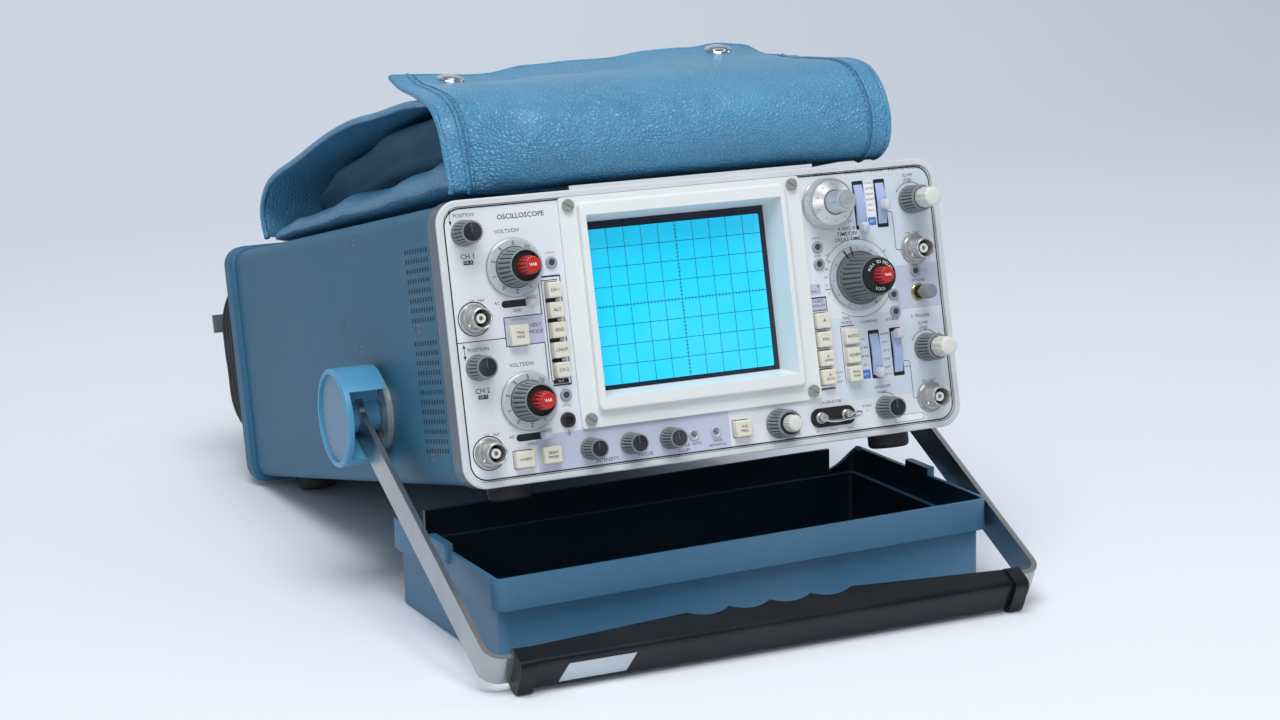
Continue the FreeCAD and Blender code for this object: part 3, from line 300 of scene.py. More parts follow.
def finish(name, group, values, bump, bump_depth, **sockets):
    """A material: a Principled shader fed by an effect, with its uniform values on its own sockets."""
    material = bpy.data.materials.get(name)
    if material:
        return material
    material = bpy.data.materials.new(name)
    material.use_nodes = True
    tree = material.node_tree
    shader = tree.nodes["Principled BSDF"]
    for socket, value in sockets.items():
        shader.inputs[socket.replace("_", " ")].default_value = value
    material.diffuse_color = values["Color"]
    surface = tree.nodes.new("ShaderNodeGroup")
    surface.node_tree = group
    for label, value in values.items():
        surface.inputs[label].default_value = value
    tree.links.new(surface.outputs["Color"], shader.inputs["Base Color"])
    tree.links.new(surface.outputs["Roughness"], shader.inputs["Roughness"])
    if bump > 0.0:
        relief = tree.nodes.new("ShaderNodeBump")
        relief.inputs["Strength"].default_value = bump
        relief.inputs["Distance"].default_value = bump_depth
        tree.links.new(surface.outputs["Height"], relief.inputs["Height"])
        tree.links.new(relief.outputs["Normal"], shader.inputs["Normal"])
    return material


def lighter(colour, share):
    """A colour moved towards white by a share, or towards black where the share is negative."""
    target = 1.0 if share > 0 else 0.0
    return tuple(value + (target - value) * abs(share) for value in colour[:3])


def moulded(name, colour, roughness=0.45, wear=0.15, worn=0.25, grain=900.0, bump=0.25,
            bump_depth=0.0001, mottle=14.0, **sockets):
    """Paint, moulded plastic or rubber."""
    values = {"Color": rgba(colour), "Worn Color": rgba(lighter(colour, worn)), "Wear": wear,
              "Roughness": roughness, "Grain Scale": grain, "Mottle Scale": mottle}
    return finish(name, moulded_grain(), values, bump, bump_depth, **sockets)


def leather(name, colour, roughness, grain, bump, bump_depth, **sockets):
    """Grained vinyl or leather."""
    values = {"Color": rgba(colour), "Crease Color": rgba(lighter(colour, -0.35)),
              "Roughness": roughness, "Grain Scale": grain}
    return finish(name, leather_grain(), values, bump, bump_depth, **sockets)


def metal(name, colour, roughness, tarnish, lines=(1500.0, 1500.0, 1500.0), bump=0.1):
    """Brushed, turned or plated metal."""
    values = {"Color": rgba(colour), "Tarnish Color": rgba(lighter(colour, tarnish)),
              "Roughness": roughness, "Lines": lines}
    return finish(name, brushed_grain(), values, bump, 0.00005, Metallic=1.0)


def cabinet_paint():
    return moulded("Cabinet Paint", colours().cabinet, 0.5, 0.22, 0.12, 620.0, 0.55, 0.0003, 7.0,
                   Specular_IOR_Level=0.3)


def frame_metal():
    return moulded("Frame Enamel And Side Shade", linear(206, 210, 214), 0.38, 0.3, 0.5, 500.0, 0.08)


def panel_paint():
    return moulded("Panel Paint", colours().panel, 0.4, 0.25, -0.05, 1200.0, 0.06, mottle=9.0)


def bezel_plastic():
    return moulded("Bezel Plastic", colours().bezel, 0.42, 0.3, -0.06, 900.0, 0.12, mottle=20.0)


def knob_plastic():
    return moulded("Knob Plastic", colours().knob, 0.42, 0.4, 0.12, 1500.0, 0.15, mottle=60.0)


def dark_knob():
    return moulded("Time Knob Plastic", linear(98, 105, 108), 0.42, 0.4, 0.12, 1500.0, 0.15, mottle=60.0)


# Painted shade in the knobs' flutes: a darker grey on the faces deep in each groove.
def knob_groove():
    return moulded("Knob Flute Shade", linear(52, 56, 60), 0.55, 0.2, 0.1, 1500.0, 0.1, mottle=60.0)


# Painted shade in the red knobs' flutes: a darker red on the faces deep in each groove.
def red_groove():
    return moulded("Red Flute Shade", linear(104, 12, 16), 0.45, 0.2, 0.1, 1500.0, 0.1, mottle=60.0)


def knob_cap():
    return moulded("Knob Cap Inlay", linear(34, 38, 44), 0.35, 0.4, 0.1, 1500.0, 0.1, mottle=60.0)


def pale_cap():
    return moulded("Pale Cap Plastic", linear(216, 216, 207), 0.38, 0.3, -0.1, 1200.0, 0.12, mottle=50.0)


def red_plastic():
    return moulded("Red Knob Plastic", linear(190, 32, 30), 0.3, 0.3, -0.3, 1200.0, 0.12, mottle=60.0,
                   Coat_Weight=0.3, Coat_Roughness=0.2)


def skirt_plastic():
    return moulded("Dial Skirt Plastic", linear(178, 187, 193), 0.22, 0.2, -0.1, 1200.0, 0.04,
                   mottle=60.0, Coat_Weight=0.5, Coat_Roughness=0.08)


def button_plastic():
    return moulded("Button Plastic", colours().button, 0.38, 0.3, -0.1, 1100.0, 0.1, mottle=70.0)


def black_ink():
    return moulded("Black Ink", linear(16, 17, 20), 0.45, 0.3, 0.08, 1500.0, 0.03, mottle=200.0)


def navy_ink():
    return moulded("Navy Ink", linear(38, 42, 84), 0.45, 0.3, 0.1, 1500.0, 0.03, mottle=200.0)


def grey_ink():
    return moulded("Grey Ink", linear(96, 100, 110), 0.45, 0.3, 0.1, 1500.0, 0.03, mottle=200.0)


def red_ink():
    return moulded("Red Ink", linear(205, 92, 92), 0.45, 0.3, 0.1, 1500.0, 0.03, mottle=200.0)


def white_ink():
    return moulded("White Ink", linear(236, 238, 240), 0.45, 0.3, -0.05, 1500.0, 0.03, mottle=200.0)


def blue_ink():
    return moulded("Blue Ink", linear(72, 118, 198), 0.45, 0.3, 0.1, 1500.0, 0.03, mottle=120.0)


def lavender_ink():
    return moulded("Lavender Ink", linear(190, 196, 214), 0.42, 0.3, -0.05, 1200.0, 0.05, mottle=30.0)


def pale_blue_ink():
    return moulded("Pale Blue Ink", linear(208, 218, 228), 0.42, 0.3, -0.04, 1200.0, 0.05, mottle=30.0)


# Near-black: the real colour of black parts, and painted shade where it fills vents, slots, bores and gaps.
def dark_void():
    return moulded("Dark Slot", linear(14, 15, 18), 0.7, 0.2, 0.05, 800.0, 0.1)


def lever_plastic():
    return moulded("Lever Plastic", linear(206, 208, 218), 0.35, 0.3, -0.1, 1000.0, 0.1, mottle=80.0)


def track_plastic():
    return moulded("Lever Track Plastic", linear(168, 184, 222), 0.3, 0.3, 0.2, 1000.0, 0.1, mottle=90.0)


def nickel():
    return moulded("Nickel Plate", linear(180, 180, 177), 0.26, 0.35, 0.2, 900.0, 0.05, mottle=120.0,
                   Metallic=0.55)


def bright_chrome():
    return metal("Bright Chrome", linear(214, 216, 220), 0.12, -0.12)


def turned_aluminium():
    return moulded("Turned Aluminium", linear(204, 206, 210), 0.3, 0.3, 0.15, 1500.0, 0.1, mottle=90.0,
                   Metallic=0.6)


def brushed_steel():
    return metal("Brushed Steel", linear(176, 178, 180), 0.34, -0.2, (900.0, 60.0, 60.0), 0.35)


def brass():
    return metal("Brass", linear(196, 186, 140), 0.28, -0.2)


def chassis_metal():
    return metal("Chassis Alloy", linear(120, 124, 126), 0.5, -0.3)


def grip_plastic():
    return moulded("Grip Plastic", colours().grip, 0.34, 0.25, 0.03, 700.0, 0.2, 0.00012, 26.0,
                   Specular_IOR_Level=0.35)


def hub_plastic():
    return moulded("Hub Plastic", colours().hub, 0.34, 0.25, 0.1, 700.0, 0.1, 0.0001, 30.0)


def hub_face():
    return moulded("Hub Face Paint", linear(112, 148, 172), 0.5, 0.35, 0.1, 700.0, 0.3, 0.0001, 30.0)


def foot_rubber():
    return moulded("Foot Rubber", linear(26, 27, 29), 0.62, 0.3, 0.08, 500.0, 0.3, 0.0002, 40.0)


def cord_rubber():
    return moulded("Cord Rubber", linear(26, 28, 32), 0.5, 0.4, 0.06, 900.0, 0.2, 0.0001, 60.0)


def rear_plastic():
    return moulded("Rear Plastic", linear(92, 104, 112), 0.5, 0.3, 0.12, 700.0, 0.3, 0.0002, 18.0)


def pouch_vinyl():
    return leather("Pouch Vinyl", colours().pouch, 0.35, 460.0, 0.85, 0.0008, Coat_Weight=0.25,
                   Coat_Roughness=0.3)


# Painted shade: the pouch's vinyl, much darkened, for the deep folds between its layers.
def pouch_lining():
    return leather("Pouch Fold Shade", lighter(colours().pouch, -0.55), 0.6, 600.0, 0.35, 0.0003)


def thread():
    return moulded("Stitch Thread", lighter(colours().pouch, -0.45), 0.7, 0.3, -0.2, 3000.0, 0.6,
                   0.0001, 300.0)


def cover_plastic():
    """Pebbled moulding on the tray's lower walls and a smoother band round its rim."""
    material = moulded("Cover Plastic", colours().cover, 0.42, 0.25, 0.14, 380.0, 0.5, 0.0005, 9.0)
    tree = material.node_tree
    relief = next(node for node in tree.nodes if node.type == "BUMP")
    if not relief.inputs["Strength"].is_linked:
        height = distance_along(tree, object_place(tree), (0.0, 0.0, 1.0))
        below = math_node(tree, "LESS_THAN", height, COVER_BAND * MM)
        tree.links.new(math_node(tree, "ADD", math_node(tree, "MULTIPLY", below, 0.5), 0.12),
                       relief.inputs["Strength"])
    return material


# ---- building pieces ----------------------------------------------------------------------------

class Moulding:
    """The points and faces of one piece, in millimetres."""

    def __init__(self):
        self.points = []
        self.faces = []
        self.finishes = []

    def add(self, points, faces, finish_index=0):
        first = len(self.points)
        self.points.extend(points)
        self.faces.extend([tuple(first + index for index in face) for face in faces])
        self.finishes.extend([finish_index] * len(faces))

    def rings(self, rings, finish_index=0, ends=(True, True), closed=True):
        """Faces between rings of equally many points; finish_index is one number or one for each row."""
        count = len(rings[0])
        rows = finish_index if isinstance(finish_index, list) else [finish_index] * len(rings)
        first = len(self.points)
        for ring in rings:
            self.points.extend(ring)
        for row in range(len(rings) - 1):
            for index in range(count if closed else count - 1):
                beside = (index + 1) % count
                start = first + row * count
                self.faces.append((start + index, start + beside, start + count + beside,
                                   start + count + index))
                self.finishes.append(rows[row])
        if ends[0]:
            self.faces.append(tuple(first + index for index in reversed(range(count))))
            self.finishes.append(rows[0])
        if ends[1]:
            last = first + (len(rings) - 1) * count
            self.faces.append(tuple(last + index for index in range(count)))
            self.finishes.append(rows[-1])

    def piece(self, name, body, materials, replaced=(), placed=INSTRUMENT, sharp=35.0):
        """The piece as an object that rides on a body."""
        mesh = bpy.data.meshes.new(name)
        mesh.from_pydata([placed @ Vector(point) for point in self.points], [], self.faces)
        for material in materials:
            mesh.materials.append(material)
        mesh.polygons.foreach_set("material_index", self.finishes)
        mesh.polygons.foreach_set("use_smooth", [True] * len(mesh.polygons))
        shape = bmesh.new()
        shape.from_mesh(mesh)
        bmesh.ops.recalc_face_normals(shape, faces=shape.faces)
        shape.to_mesh(mesh)
        shape.free()
        mesh.set_sharp_from_angle(angle=math.radians(sharp))
        made = bpy.data.objects.new(name, mesh)
        bpy.context.scene.collection.objects.link(made)
        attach(made, body)
        if replaced:
            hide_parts(*replaced)
        return made


def circle(count):
    """The cosines and sines of even steps round a circle."""
    return [(math.cos(2 * math.pi * i / count), math.sin(2 * math.pi * i / count)) for i in range(count)]


def around(x, z, radius, angle):
    """The place (x, z) at a radius and an angle from a middle."""
    return x + radius * math.cos(angle), z + radius * math.sin(angle)


def turned(moulding, x, z, profile, count=40, base=PANEL_FACE):
    """A round part on the panel: rows of height above it, radius and finish."""
    rings, rows = [], []
    for height, radius, finish_index in profile:
        rings.append([(x + radius * c, base - height, z + radius * s) for c, s in circle(count)])
        rows.append(finish_index)
    moulding.rings(rings, rows)


FLUTE_SHARPNESS = 1.6
GROOVE_FLOOR = 0.45
FULL_FLUTE = 0.4


def fluted(moulding, x, z, profile, flutes, groove, steps=6):
    """A fluted round part: rows of height, radius, share of the flute depth and finish, and its
    grooves' finish, which paints shade into the flutes."""
    count = flutes * steps
    depth = sizes().flute_depth / MM
    rings, rows = [], []
    for height, radius, share, finish_index in profile:
        ring = []
        for index in range(count):
            angle = 2 * math.pi * index / count
            reach = radius - depth * share * (0.5 + 0.5 * math.cos(flutes * angle)) ** FLUTE_SHARPNESS
            ring.append((x + reach * math.cos(angle), PANEL_FACE - height, z + reach * math.sin(angle)))
        rings.append(ring)
        rows.append(finish_index)
    first = len(moulding.finishes)
    moulding.rings(rings, rows)
    # Faces deep in the flutes take the groove finish: painted shade in each groove.
    for row in range(len(profile) - 1):
        if min(profile[row][2], profile[row + 1][2]) >= FULL_FLUTE:
            for index in range(count):
                if math.cos(2 * math.pi * (index + 0.5) / steps) > GROOVE_FLOOR:
                    moulding.finishes[first + row * count + index] = groove


def outline(x, z, width, height, round_radius, steps=5):
    """The corners of a rounded rectangle on the panel, as (x, z)."""
    found = []
    radius = min(round_radius, width / 2 - 0.01, height / 2 - 0.01)
    for side, end, start in ((1, 1, 0), (-1, 1, 90), (-1, -1, 180), (1, -1, 270)):
        for step in range(steps + 1):
            angle = math.radians(start + 90.0 * step / steps)
            found.append(around(x + side * (width / 2 - radius), z + end * (height / 2 - radius),
                                radius, angle))
    return found


def plate(moulding, corners, y_front, y_back, finish_index=0):
    """A flat plate with an outline, between two depths."""
    moulding.rings([[(x, y_back, z) for x, z in corners], [(x, y_front, z) for x, z in corners]],
                   finish_index)


def frame_line(moulding, corners, width, y, finish_index=0):
    """A flat printed line round a closed outline, or along an open run where the ends differ."""
    points = [Vector((x, z)) for x, z in corners]
    shut = (points[0] - points[-1]).length < 1e-6
    count = len(points) - 1 if shut else len(points)
    inner, outer = [], []
    for index in range(len(points)):
        before = points[(index - 1) % count] if shut or index > 0 else points[index]
        after = points[(index + 1) % count] if shut or index < len(points) - 1 else points[index]
        back = points[index] - before if (points[index] - before).length > 1e-9 else after - points[index]
        ahead = after - points[index] if (after - points[index]).length > 1e-9 else back
        back, ahead = back.normalized(), ahead.normalized()
        along = (back + ahead).normalized() if (back + ahead).length > 1e-6 else back
        across = Vector((-along.y, along.x))
        reach = width / 2 / max(abs(across.dot(Vector((-back.y, back.x)))), 0.5)
        inner.append((points[index].x - across.x * reach, y, points[index].y - across.y * reach))
        outer.append((points[index].x + across.x * reach, y, points[index].y + across.y * reach))
    moulding.rings([inner, outer], finish_index, (False, False), False)


def rounded_run(points, radius, steps=5):
    """A run of (x, z) points with each inner corner rounded."""
    found = [points[0]]
    for before, corner, after in zip(points, points[1:], points[2:]):
        here = Vector(corner)
        back = Vector(before) - here
        ahead = Vector(after) - here
        cut = min(radius, back.length / 2, ahead.length / 2)
        start = here + back.normalized() * cut
        end = here + ahead.normalized() * cut
        for step in range(steps + 1):
            share = step / steps
            near = start.lerp(here, share).lerp(here.lerp(end, share), share)
            found.append((near.x, near.y))
    found.append(points[-1])
    return found


def tube(moulding, points, radius, finish_index, count):
    """A round bar along 3-D points."""
    places = [Vector(point) for point in points]
    rings = []
    side = None
    for index, place in enumerate(places):
        before, after = places[max(index - 1, 0)], places[min(index + 1, len(places) - 1)]
        along = (after - before).normalized()
        if side is None:
            side = along.orthogonal().normalized()
        side = (side - along * side.dot(along)).normalized()
        over = along.cross(side)
        rings.append([tuple(place + (side * c + over * s) * radius) for c, s in circle(count)])
    moulding.rings(rings, finish_index)


def lettering(moulding, text, x, z, height, finish_index=0, y=None, turn=0.0, bold=0.0):
    """Flat lettering on the panel, centred on a place; height is that of a capital."""
    cutter = bpy.data.curves.new("lettering", "FONT")
    cutter.body = text
    cutter.size = height / 0.69
    cutter.align_x = "CENTER"
    cutter.align_y = "CENTER"
    cutter.resolution_u = 2
    cutter.offset = bold
    cutter.fill_mode = "FRONT"
    holder = bpy.data.objects.new("lettering", cutter)
    bpy.context.scene.collection.objects.link(holder)
    bpy.context.view_layer.update()
    flat = bpy.data.meshes.new_from_object(holder)
    bpy.data.objects.remove(holder)
    bpy.data.curves.remove(cutter)
    depth = PANEL_FACE - PRINT_LIFT if y is None else y
    cosine, sine = math.cos(turn), math.sin(turn)
    points = [(x + v.co.x * cosine - v.co.y * sine, depth, z + v.co.x * sine + v.co.y * cosine)
              for v in flat.vertices]
    moulding.add(points, [tuple(face.vertices) for face in flat.polygons], finish_index)
    bpy.data.meshes.remove(flat)


def joint_place(name):
    """Where a joint's axis meets the panel, as (x, z) in millimetres of the instrument."""
    place = FROM_ROW @ Vector(JOINTS[name]["pos_m"])
    return place.x, place.z


def node_middle(name):
    """The middle of a CAD node, in millimetres of the instrument."""
    low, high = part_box(name)
    return FROM_ROW @ ((low + high) / 2)


def repaint(names, material):
    """Give CAD nodes a finish."""
    for name in names:
        holder = NODES[name]
        holder.data.materials.clear()
        holder.data.materials.append(material)


# ---- cabinet and front frame --------------------------------------------------------------------

FRAME_LIP = 1.6


def frame_finish():
    """Enamel on the frame's front lip, and satin metal on its sides, their colour darkened as painted shade.
    """
    material = frame_metal()
    tree = material.node_tree
    shader = tree.nodes["Principled BSDF"]
    source = shader.inputs["Base Color"].links[0].from_socket
    behind = math_node(tree, "GREATER_THAN", distance_along(tree, object_place(tree), REARWARD),
                       CORNER.dot(REARWARD) + FRAME_LIP * MM)
    # Painted shade: the frame's sides take a darker grey-blue than the lit front lip.
    shaded_side_colour = rgba(linear(100, 110, 120))
    tree.links.new(mixed_colour(tree, behind, source, shaded_side_colour), shader.inputs["Base Color"])
    tree.links.new(math_node(tree, "MULTIPLY", behind, 0.45), shader.inputs["Metallic"])
    return material


VENT_FRONT, VENT_REAR = 22.5, 57.5
VENT_ROWS = ((85.0, 124.0), (18.0, 77.0))


def cabinet_marks():
    """Printed pointers on the cabinet's left side, and dark plates of painted shade behind the vents."""
    moulding = Moulding()
    x = -CASE_HALF - 0.06
    for y, z, twin in ((145, 133, False), (177, 89, True), (150, 75, False), (53, 83, False),
                       (53, 17, False)):
        for offset in ((0.0, 6.0) if twin else (0.0,)):
            moulding.add([(x, y - offset - 1.0, z - 1.0), (x, y - offset + 1.0, z - 1.0),
                          (x, y - offset, z + 2.2)], [(0, 1, 2)], 0)
            moulding.add([(x, y - offset - 0.3, z - 3.6), (x, y - offset + 0.3, z - 3.6),
                          (x, y - offset + 0.3, z - 1.0), (x, y - offset - 0.3, z - 1.0)],
                         [(0, 1, 2, 3)], 0)
        if not twin:
            for row in range(2):
                low = z + 0.6 - row * 3.0
                moulding.add([(x, y - 7.6, low), (x, y - 2.8, low), (x, y - 2.8, low + 1.2),
                              (x, y - 7.6, low + 1.2)], [(0, 1, 2, 3)], 1)
    moulding.piece("cabinet_marks", "case", [black_ink(), grey_ink()])
    # Painted shade: dark plates inside the side walls show through the vent holes.
    shadows = Moulding()
    for side in (-1, 1):
        for low, high in VENT_ROWS:
            corners = ((VENT_FRONT, low), (VENT_REAR, low), (VENT_REAR, high), (VENT_FRONT, high))
            shadows.rings([[(side * (CASE_HALF - inset), y, z) for y, z in corners]
                           for inset in (0.12, 0.7)])
    shadows.piece("vent_shadows", "case", [dark_void()])


def cabinet():
    """Finishes of the cabinet, its frame, chassis, feet and screws."""
    repaint(["cabinet_sleeve"], cabinet_paint())
    repaint(["front_frame"], frame_finish())
    repaint(["chassis"], chassis_metal())
    repaint(["rubber_feet"], foot_rubber())
    repaint(["fixings"], nickel())
    cabinet_marks()


# ---- printing on the front panel ----------------------------------------------------------------

BLACK, NAVY, GREY, RED, WHITE, BLUE, LAVENDER, PALE = range(8)
CHANNEL_DROP = 67.0
TRIGGER_DROP = 79.0
DIAL_NUMBERS = ("5", "10", "20", "50", ".1", ".2", ".5", "1", "2", "5")


def inks():
    return [black_ink(), navy_ink(), grey_ink(), red_ink(), white_ink(), blue_ink(), lavender_ink(),
            pale_blue_ink()]


def patch(moulding, corners, ink=BLACK, lift=0.04):
    """A printed patch of colour with an outline."""
    moulding.add([(x, PANEL_FACE - lift, z) for x, z in corners], [tuple(range(len(corners)))], ink)


def zone(moulding, x0, x1, z0, z1, ink, lift=0.02, round_radius=0.4):
    """A printed patch of colour between two places across and two up."""
    patch(moulding, outline((x0 + x1) / 2, (z0 + z1) / 2, x1 - x0, z1 - z0, round_radius, 2), ink, lift)


def words(moulding, *labels, ink=BLACK):
    """Printed words, each as text, place across, place up and height."""
    for text, x, z, height in labels:
        lettering(moulding, text, x, z, height, ink)


def line(moulding, corners, width=0.3, ink=BLACK, lift=PRINT_LIFT):
    frame_line(moulding, corners, width, PANEL_FACE - lift, ink)


def pointer(moulding, x, z, reach, ink=BLACK):
    """A small printed arrow head that points up, or down where reach is negative."""
    patch(moulding, ((x - 0.75, z), (x + 0.75, z), (x, z + reach)), ink, PRINT_LIFT)


def arc_points(x, z, radius, start, end, steps=20):
    """Points (x, z) on an arc between two angles in degrees, counted from the right."""
    return [around(x, z, radius, math.radians(start + (end - start) * i / steps)) for i in range(steps + 1)]


def print_channel(moulding, number, drop):
    """The labels of one input channel."""
    lettering(moulding, "POSITION", -127.0, 136.2 - drop, 1.75)
    line(moulding, [(-134.3, 133.4 - drop), (-134.3, 137.6 - drop)], 0.28)
    pointer(moulding, -134.3, 137.4 - drop, 2.2)
    pointer(moulding, -134.3, 133.6 - drop, -2.2)
    lettering(moulding, "CH %d" % number, -127.0, 115.6 - drop, 2.5, bold=0.02)
    zone(moulding, -129.6, -124.4, 111.5 - drop, 113.6 - drop, BLACK, 0.03, 0.2)
    lettering(moulding, "OR X" if number == 1 else "OR Y", -127.0, 112.55 - drop, 1.3, WHITE,
              PANEL_FACE - 0.09)
    lettering(moulding, "VOLTS/DIV", -104.9, 126.4 - drop, 1.9)
    lettering(moulding, "1M   24pF", -124.8, 93.4 - drop, 1.4, GREY)
    lettering(moulding, "AC", -114.3, 91.0 - drop, 1.5)
    lettering(moulding, "DC", -93.8, 92.4 - drop, 1.5)
    lettering(moulding, "GND", -104.0, 86.5 - drop, 1.5)
    ring = arc_points(-127.3, 84.5 - drop, 8.4, 0, 360, 36)
    line(moulding, ring, 0.55, BLACK)
    patch(moulding, outline(-104.2, 90.1 - drop, 15.6, 3.6, 1.7, 5))


def print_vertical_mode(moulding):
    """The outlined block of vertical mode buttons and the line that parts the channels."""
    block = [(-111.7, 69.1), (-111.7, 83.5), (-91.2, 83.5), (-91.2, 101.8), (-79.4, 101.8),
             (-79.4, 47.0), (-91.2, 47.0), (-91.2, 69.1), (-111.7, 69.1)]
    zone(moulding, -111.7, -91.0, 69.1, 83.5, LAVENDER)
    line(moulding, block, 0.5, NAVY)
    line(moulding, [(-91.2, 101.8), (-79.4, 101.8)], 0.9, NAVY, 0.07)
    line(moulding, [(-91.2, 47.0), (-79.4, 47.0)], 0.9, NAVY, 0.07)
    line(moulding, [(-89.6, 48.6), (-89.6, 99.9), (-81.0, 99.9)], 0.4, BLACK, 0.07)
    line(moulding, [(-138.3, 73.4), (-111.7, 73.4)], 0.4)
    words(moulding, ("VERT", -95.2, 78.2, 1.9), ("MODE", -95.2, 75.0, 1.9))
    lettering(moulding, "LIMIT (PULL)", -103.4, 81.9, 1.2, GREY)
    zone(moulding, -89.0, -80.6, 47.7, 49.9, BLACK, 0.05, 0.1)
    lettering(moulding, "X-Y", -84.8, 48.8, 1.3, WHITE, PANEL_FACE - 0.1)
    for index in range(1, 5):
        z = 94.8 - (index - 0.5) * 10.1
        zone(moulding, -88.6, -83.0, z - 0.75, z + 0.75, BLACK, 0.05, 0.1)


def print_trigger(moulding, label, drop):
    """The labels of one trigger's level, source and coupling."""
    lettering(moulding, label, 123.8, 139.4 - drop, 1.6)
    lettering(moulding, "SLOPE", 125.0, 135.4 - drop, 1.5)
    lettering(moulding, "LEVEL", 125.0, 132.9 - drop, 1.6)
    centre_z = 122.4 - drop
    line(moulding, arc_points(125.6, centre_z, 9.3, 28, 152), 0.32)
    for x, text in ((117.0, "-"), (125.6, "0"), (134.2, "+")):
        lettering(moulding, text, x, centre_z + (9.3 if text == "0" else 6.6), 1.4)
    lettering(moulding, "COUPLING", 92.6, 139.5 - drop, 1.4)
    lettering(moulding, "SOURCE", 106.6, 139.3 - drop, 1.4)
    lettering(moulding, "1M   24pF", 124.4, 104.6 - drop, 1.4, GREY)
    for x in (94.6, 107.5):
        patch(moulding, outline(x, 122.0 - drop, 6.6, 25.6, 0.5, 2))


def print_triggers(moulding):
    """Both trigger blocks with their leads to the sockets."""
    print_trigger(moulding, "B (DLY'D) TRIGGER", 0.0)
    print_trigger(moulding, "A TRIGGER", TRIGGER_DROP)
    zone(moulding, 98.6, 104.0, 115.6, 134.4, WHITE, 0.05)
    for index, text in enumerate(("STARTS", "AFTER", "DELAY", "NORM", "CH 1", "CH 2")):
        lettering(moulding, text, 101.3, 133.2 - index * 2.9, 1.15, y=PANEL_FACE - 0.08)
    zone(moulding, 98.8, 103.6, 110.8, 115.0, BLUE, 0.05)
    lettering(moulding, "EXT", 101.2, 112.9, 1.2, WHITE, PANEL_FACE - 0.09)
    for index, text in enumerate(("AC", "DC")):
        lettering(moulding, text, 88.0, 118.2 - index * 4.2, 1.2)
    for index, text in enumerate(("NORM", "CH 1", "CH 2", "LINE", "EXT")):
        lettering(moulding, text, 101.2, 53.0 - index * 4.4, 1.25)
    lettering(moulding, "EXT/10", 101.4, 31.6, 1.0)
    for index, text in enumerate(("AC", "LF REJ", "HF REJ", "DC")):
        lettering(moulding, text, 88.2, 51.5 - index * 4.5, 1.15)
    zone(moulding, 85.8, 90.4, 30.6, 35.4, BLUE, 0.05)
    lettering(moulding, "EXT", 88.1, 33.0, 1.1, WHITE, PANEL_FACE - 0.09)
    upper = rounded_run([(109.6, 117.2), (113.6, 117.2), (113.6, 96.4), (117.0, 96.4)], 2.0)
    lower = rounded_run([(110.9, 37.6), (114.6, 37.6), (114.6, 17.2), (117.4, 17.2)], 2.0)
    line(moulding, upper, 0.3)
    line(moulding, lower, 0.3)
    line(moulding, [(110.9, 34.4), (114.6, 34.4)], 0.3)
    line(moulding, arc_points(124.7, 95.9, 8.1, 0, 360, 36), 0.3, GREY)
    line(moulding, arc_points(124.7, 16.9, 8.1, 0, 360, 36), 0.3, GREY)


def print_time_base(moulding):
    """The labels of the time base and the display modes."""
    words(moulding, ("DELAY TIME POSITION", 71.8, 140.1, 1.5), ("A AND B", 85.4, 110.4, 1.8))
    lettering(moulding, "TIME/DIV", 85.4, 107.6, 2.1, bold=0.015)
    lettering(moulding, "DELAY TIME", 85.4, 104.7, 1.9, bold=0.015)
    line(moulding, arc_points(89.0, 84.0, 20.6, -125, 150, 40), 0.28, GREY)
    for index, text in enumerate(("50", "20", "10", "5", "2", "1")):
        angle = math.radians(148 + index * 13)
        lettering(moulding, text, *around(89.0, 84.0, 19.0, angle), 1.3)
    words(moulding, ("mS", 72.4, 97.6, 1.4), ("uS", 106.4, 96.8, 1.4), ("S", 108.6, 80.2, 1.4))
    lettering(moulding, "UNCAL", 66.6, 107.0, 1.1, GREY)
    lettering(moulding, "READY", 66.6, 97.6, 1.0, RED)
    zone(moulding, 55.8, 66.4, 77.4, 83.2, LAVENDER)
    words(moulding, ("B", 65.0, 81.8, 1.3), ("A ONLY", 62.0, 79.2, 1.3))
    line(moulding, [(59.2, 75.9), (68.8, 75.9), (68.8, 58.6)], 0.4, NAVY)
    line(moulding, [(59.2, 75.9), (68.8, 75.9)], 0.8, NAVY, 0.07)
    zone(moulding, 59.4, 68.6, 69.6, 75.6, LAVENDER, 0.03)
    words(moulding, ("HORIZ", 63.9, 74.0, 1.5), ("DISPLAY", 63.9, 71.6, 1.5))
    line(moulding, [(60.0, 69.2), (68.4, 69.2)], 0.5)
    line(moulding, [(59.6, 69.2), (59.6, 28.0), (68.8, 28.0)], 0.35)
    line(moulding, [(59.6, 28.0), (68.8, 28.0)], 0.8, BLACK, 0.07)
    line(moulding, [(68.8, 79.6), (72.4, 79.6)], 0.35)
    words(moulding, ("TRIG", 79.4, 63.6, 1.5), ("MODE", 79.4, 61.2, 1.5))
    line(moulding, [(75.6, 59.5), (83.6, 59.5)], 0.5)
    line(moulding, [(75.4, 59.0), (75.4, 29.0)], 0.3)
    for index, text in enumerate(("PUSH", "TO", "RESET")):
        lettering(moulding, text, 72.0, 35.6 - index * 2.4, 1.1, GREY)
    words(moulding, ("HOLDOFF", 96.6, 25.4, 1.5), ("NORM", 96.0, 22.7, 1.3))
    line(moulding, arc_points(97.1, 14.3, 8.0, 20, 100, 10), 0.28)
    words(moulding, ("B ENDS", 86.2, 16.4, 1.1), ("A", 86.2, 14.0, 1.1), ink=GREY)


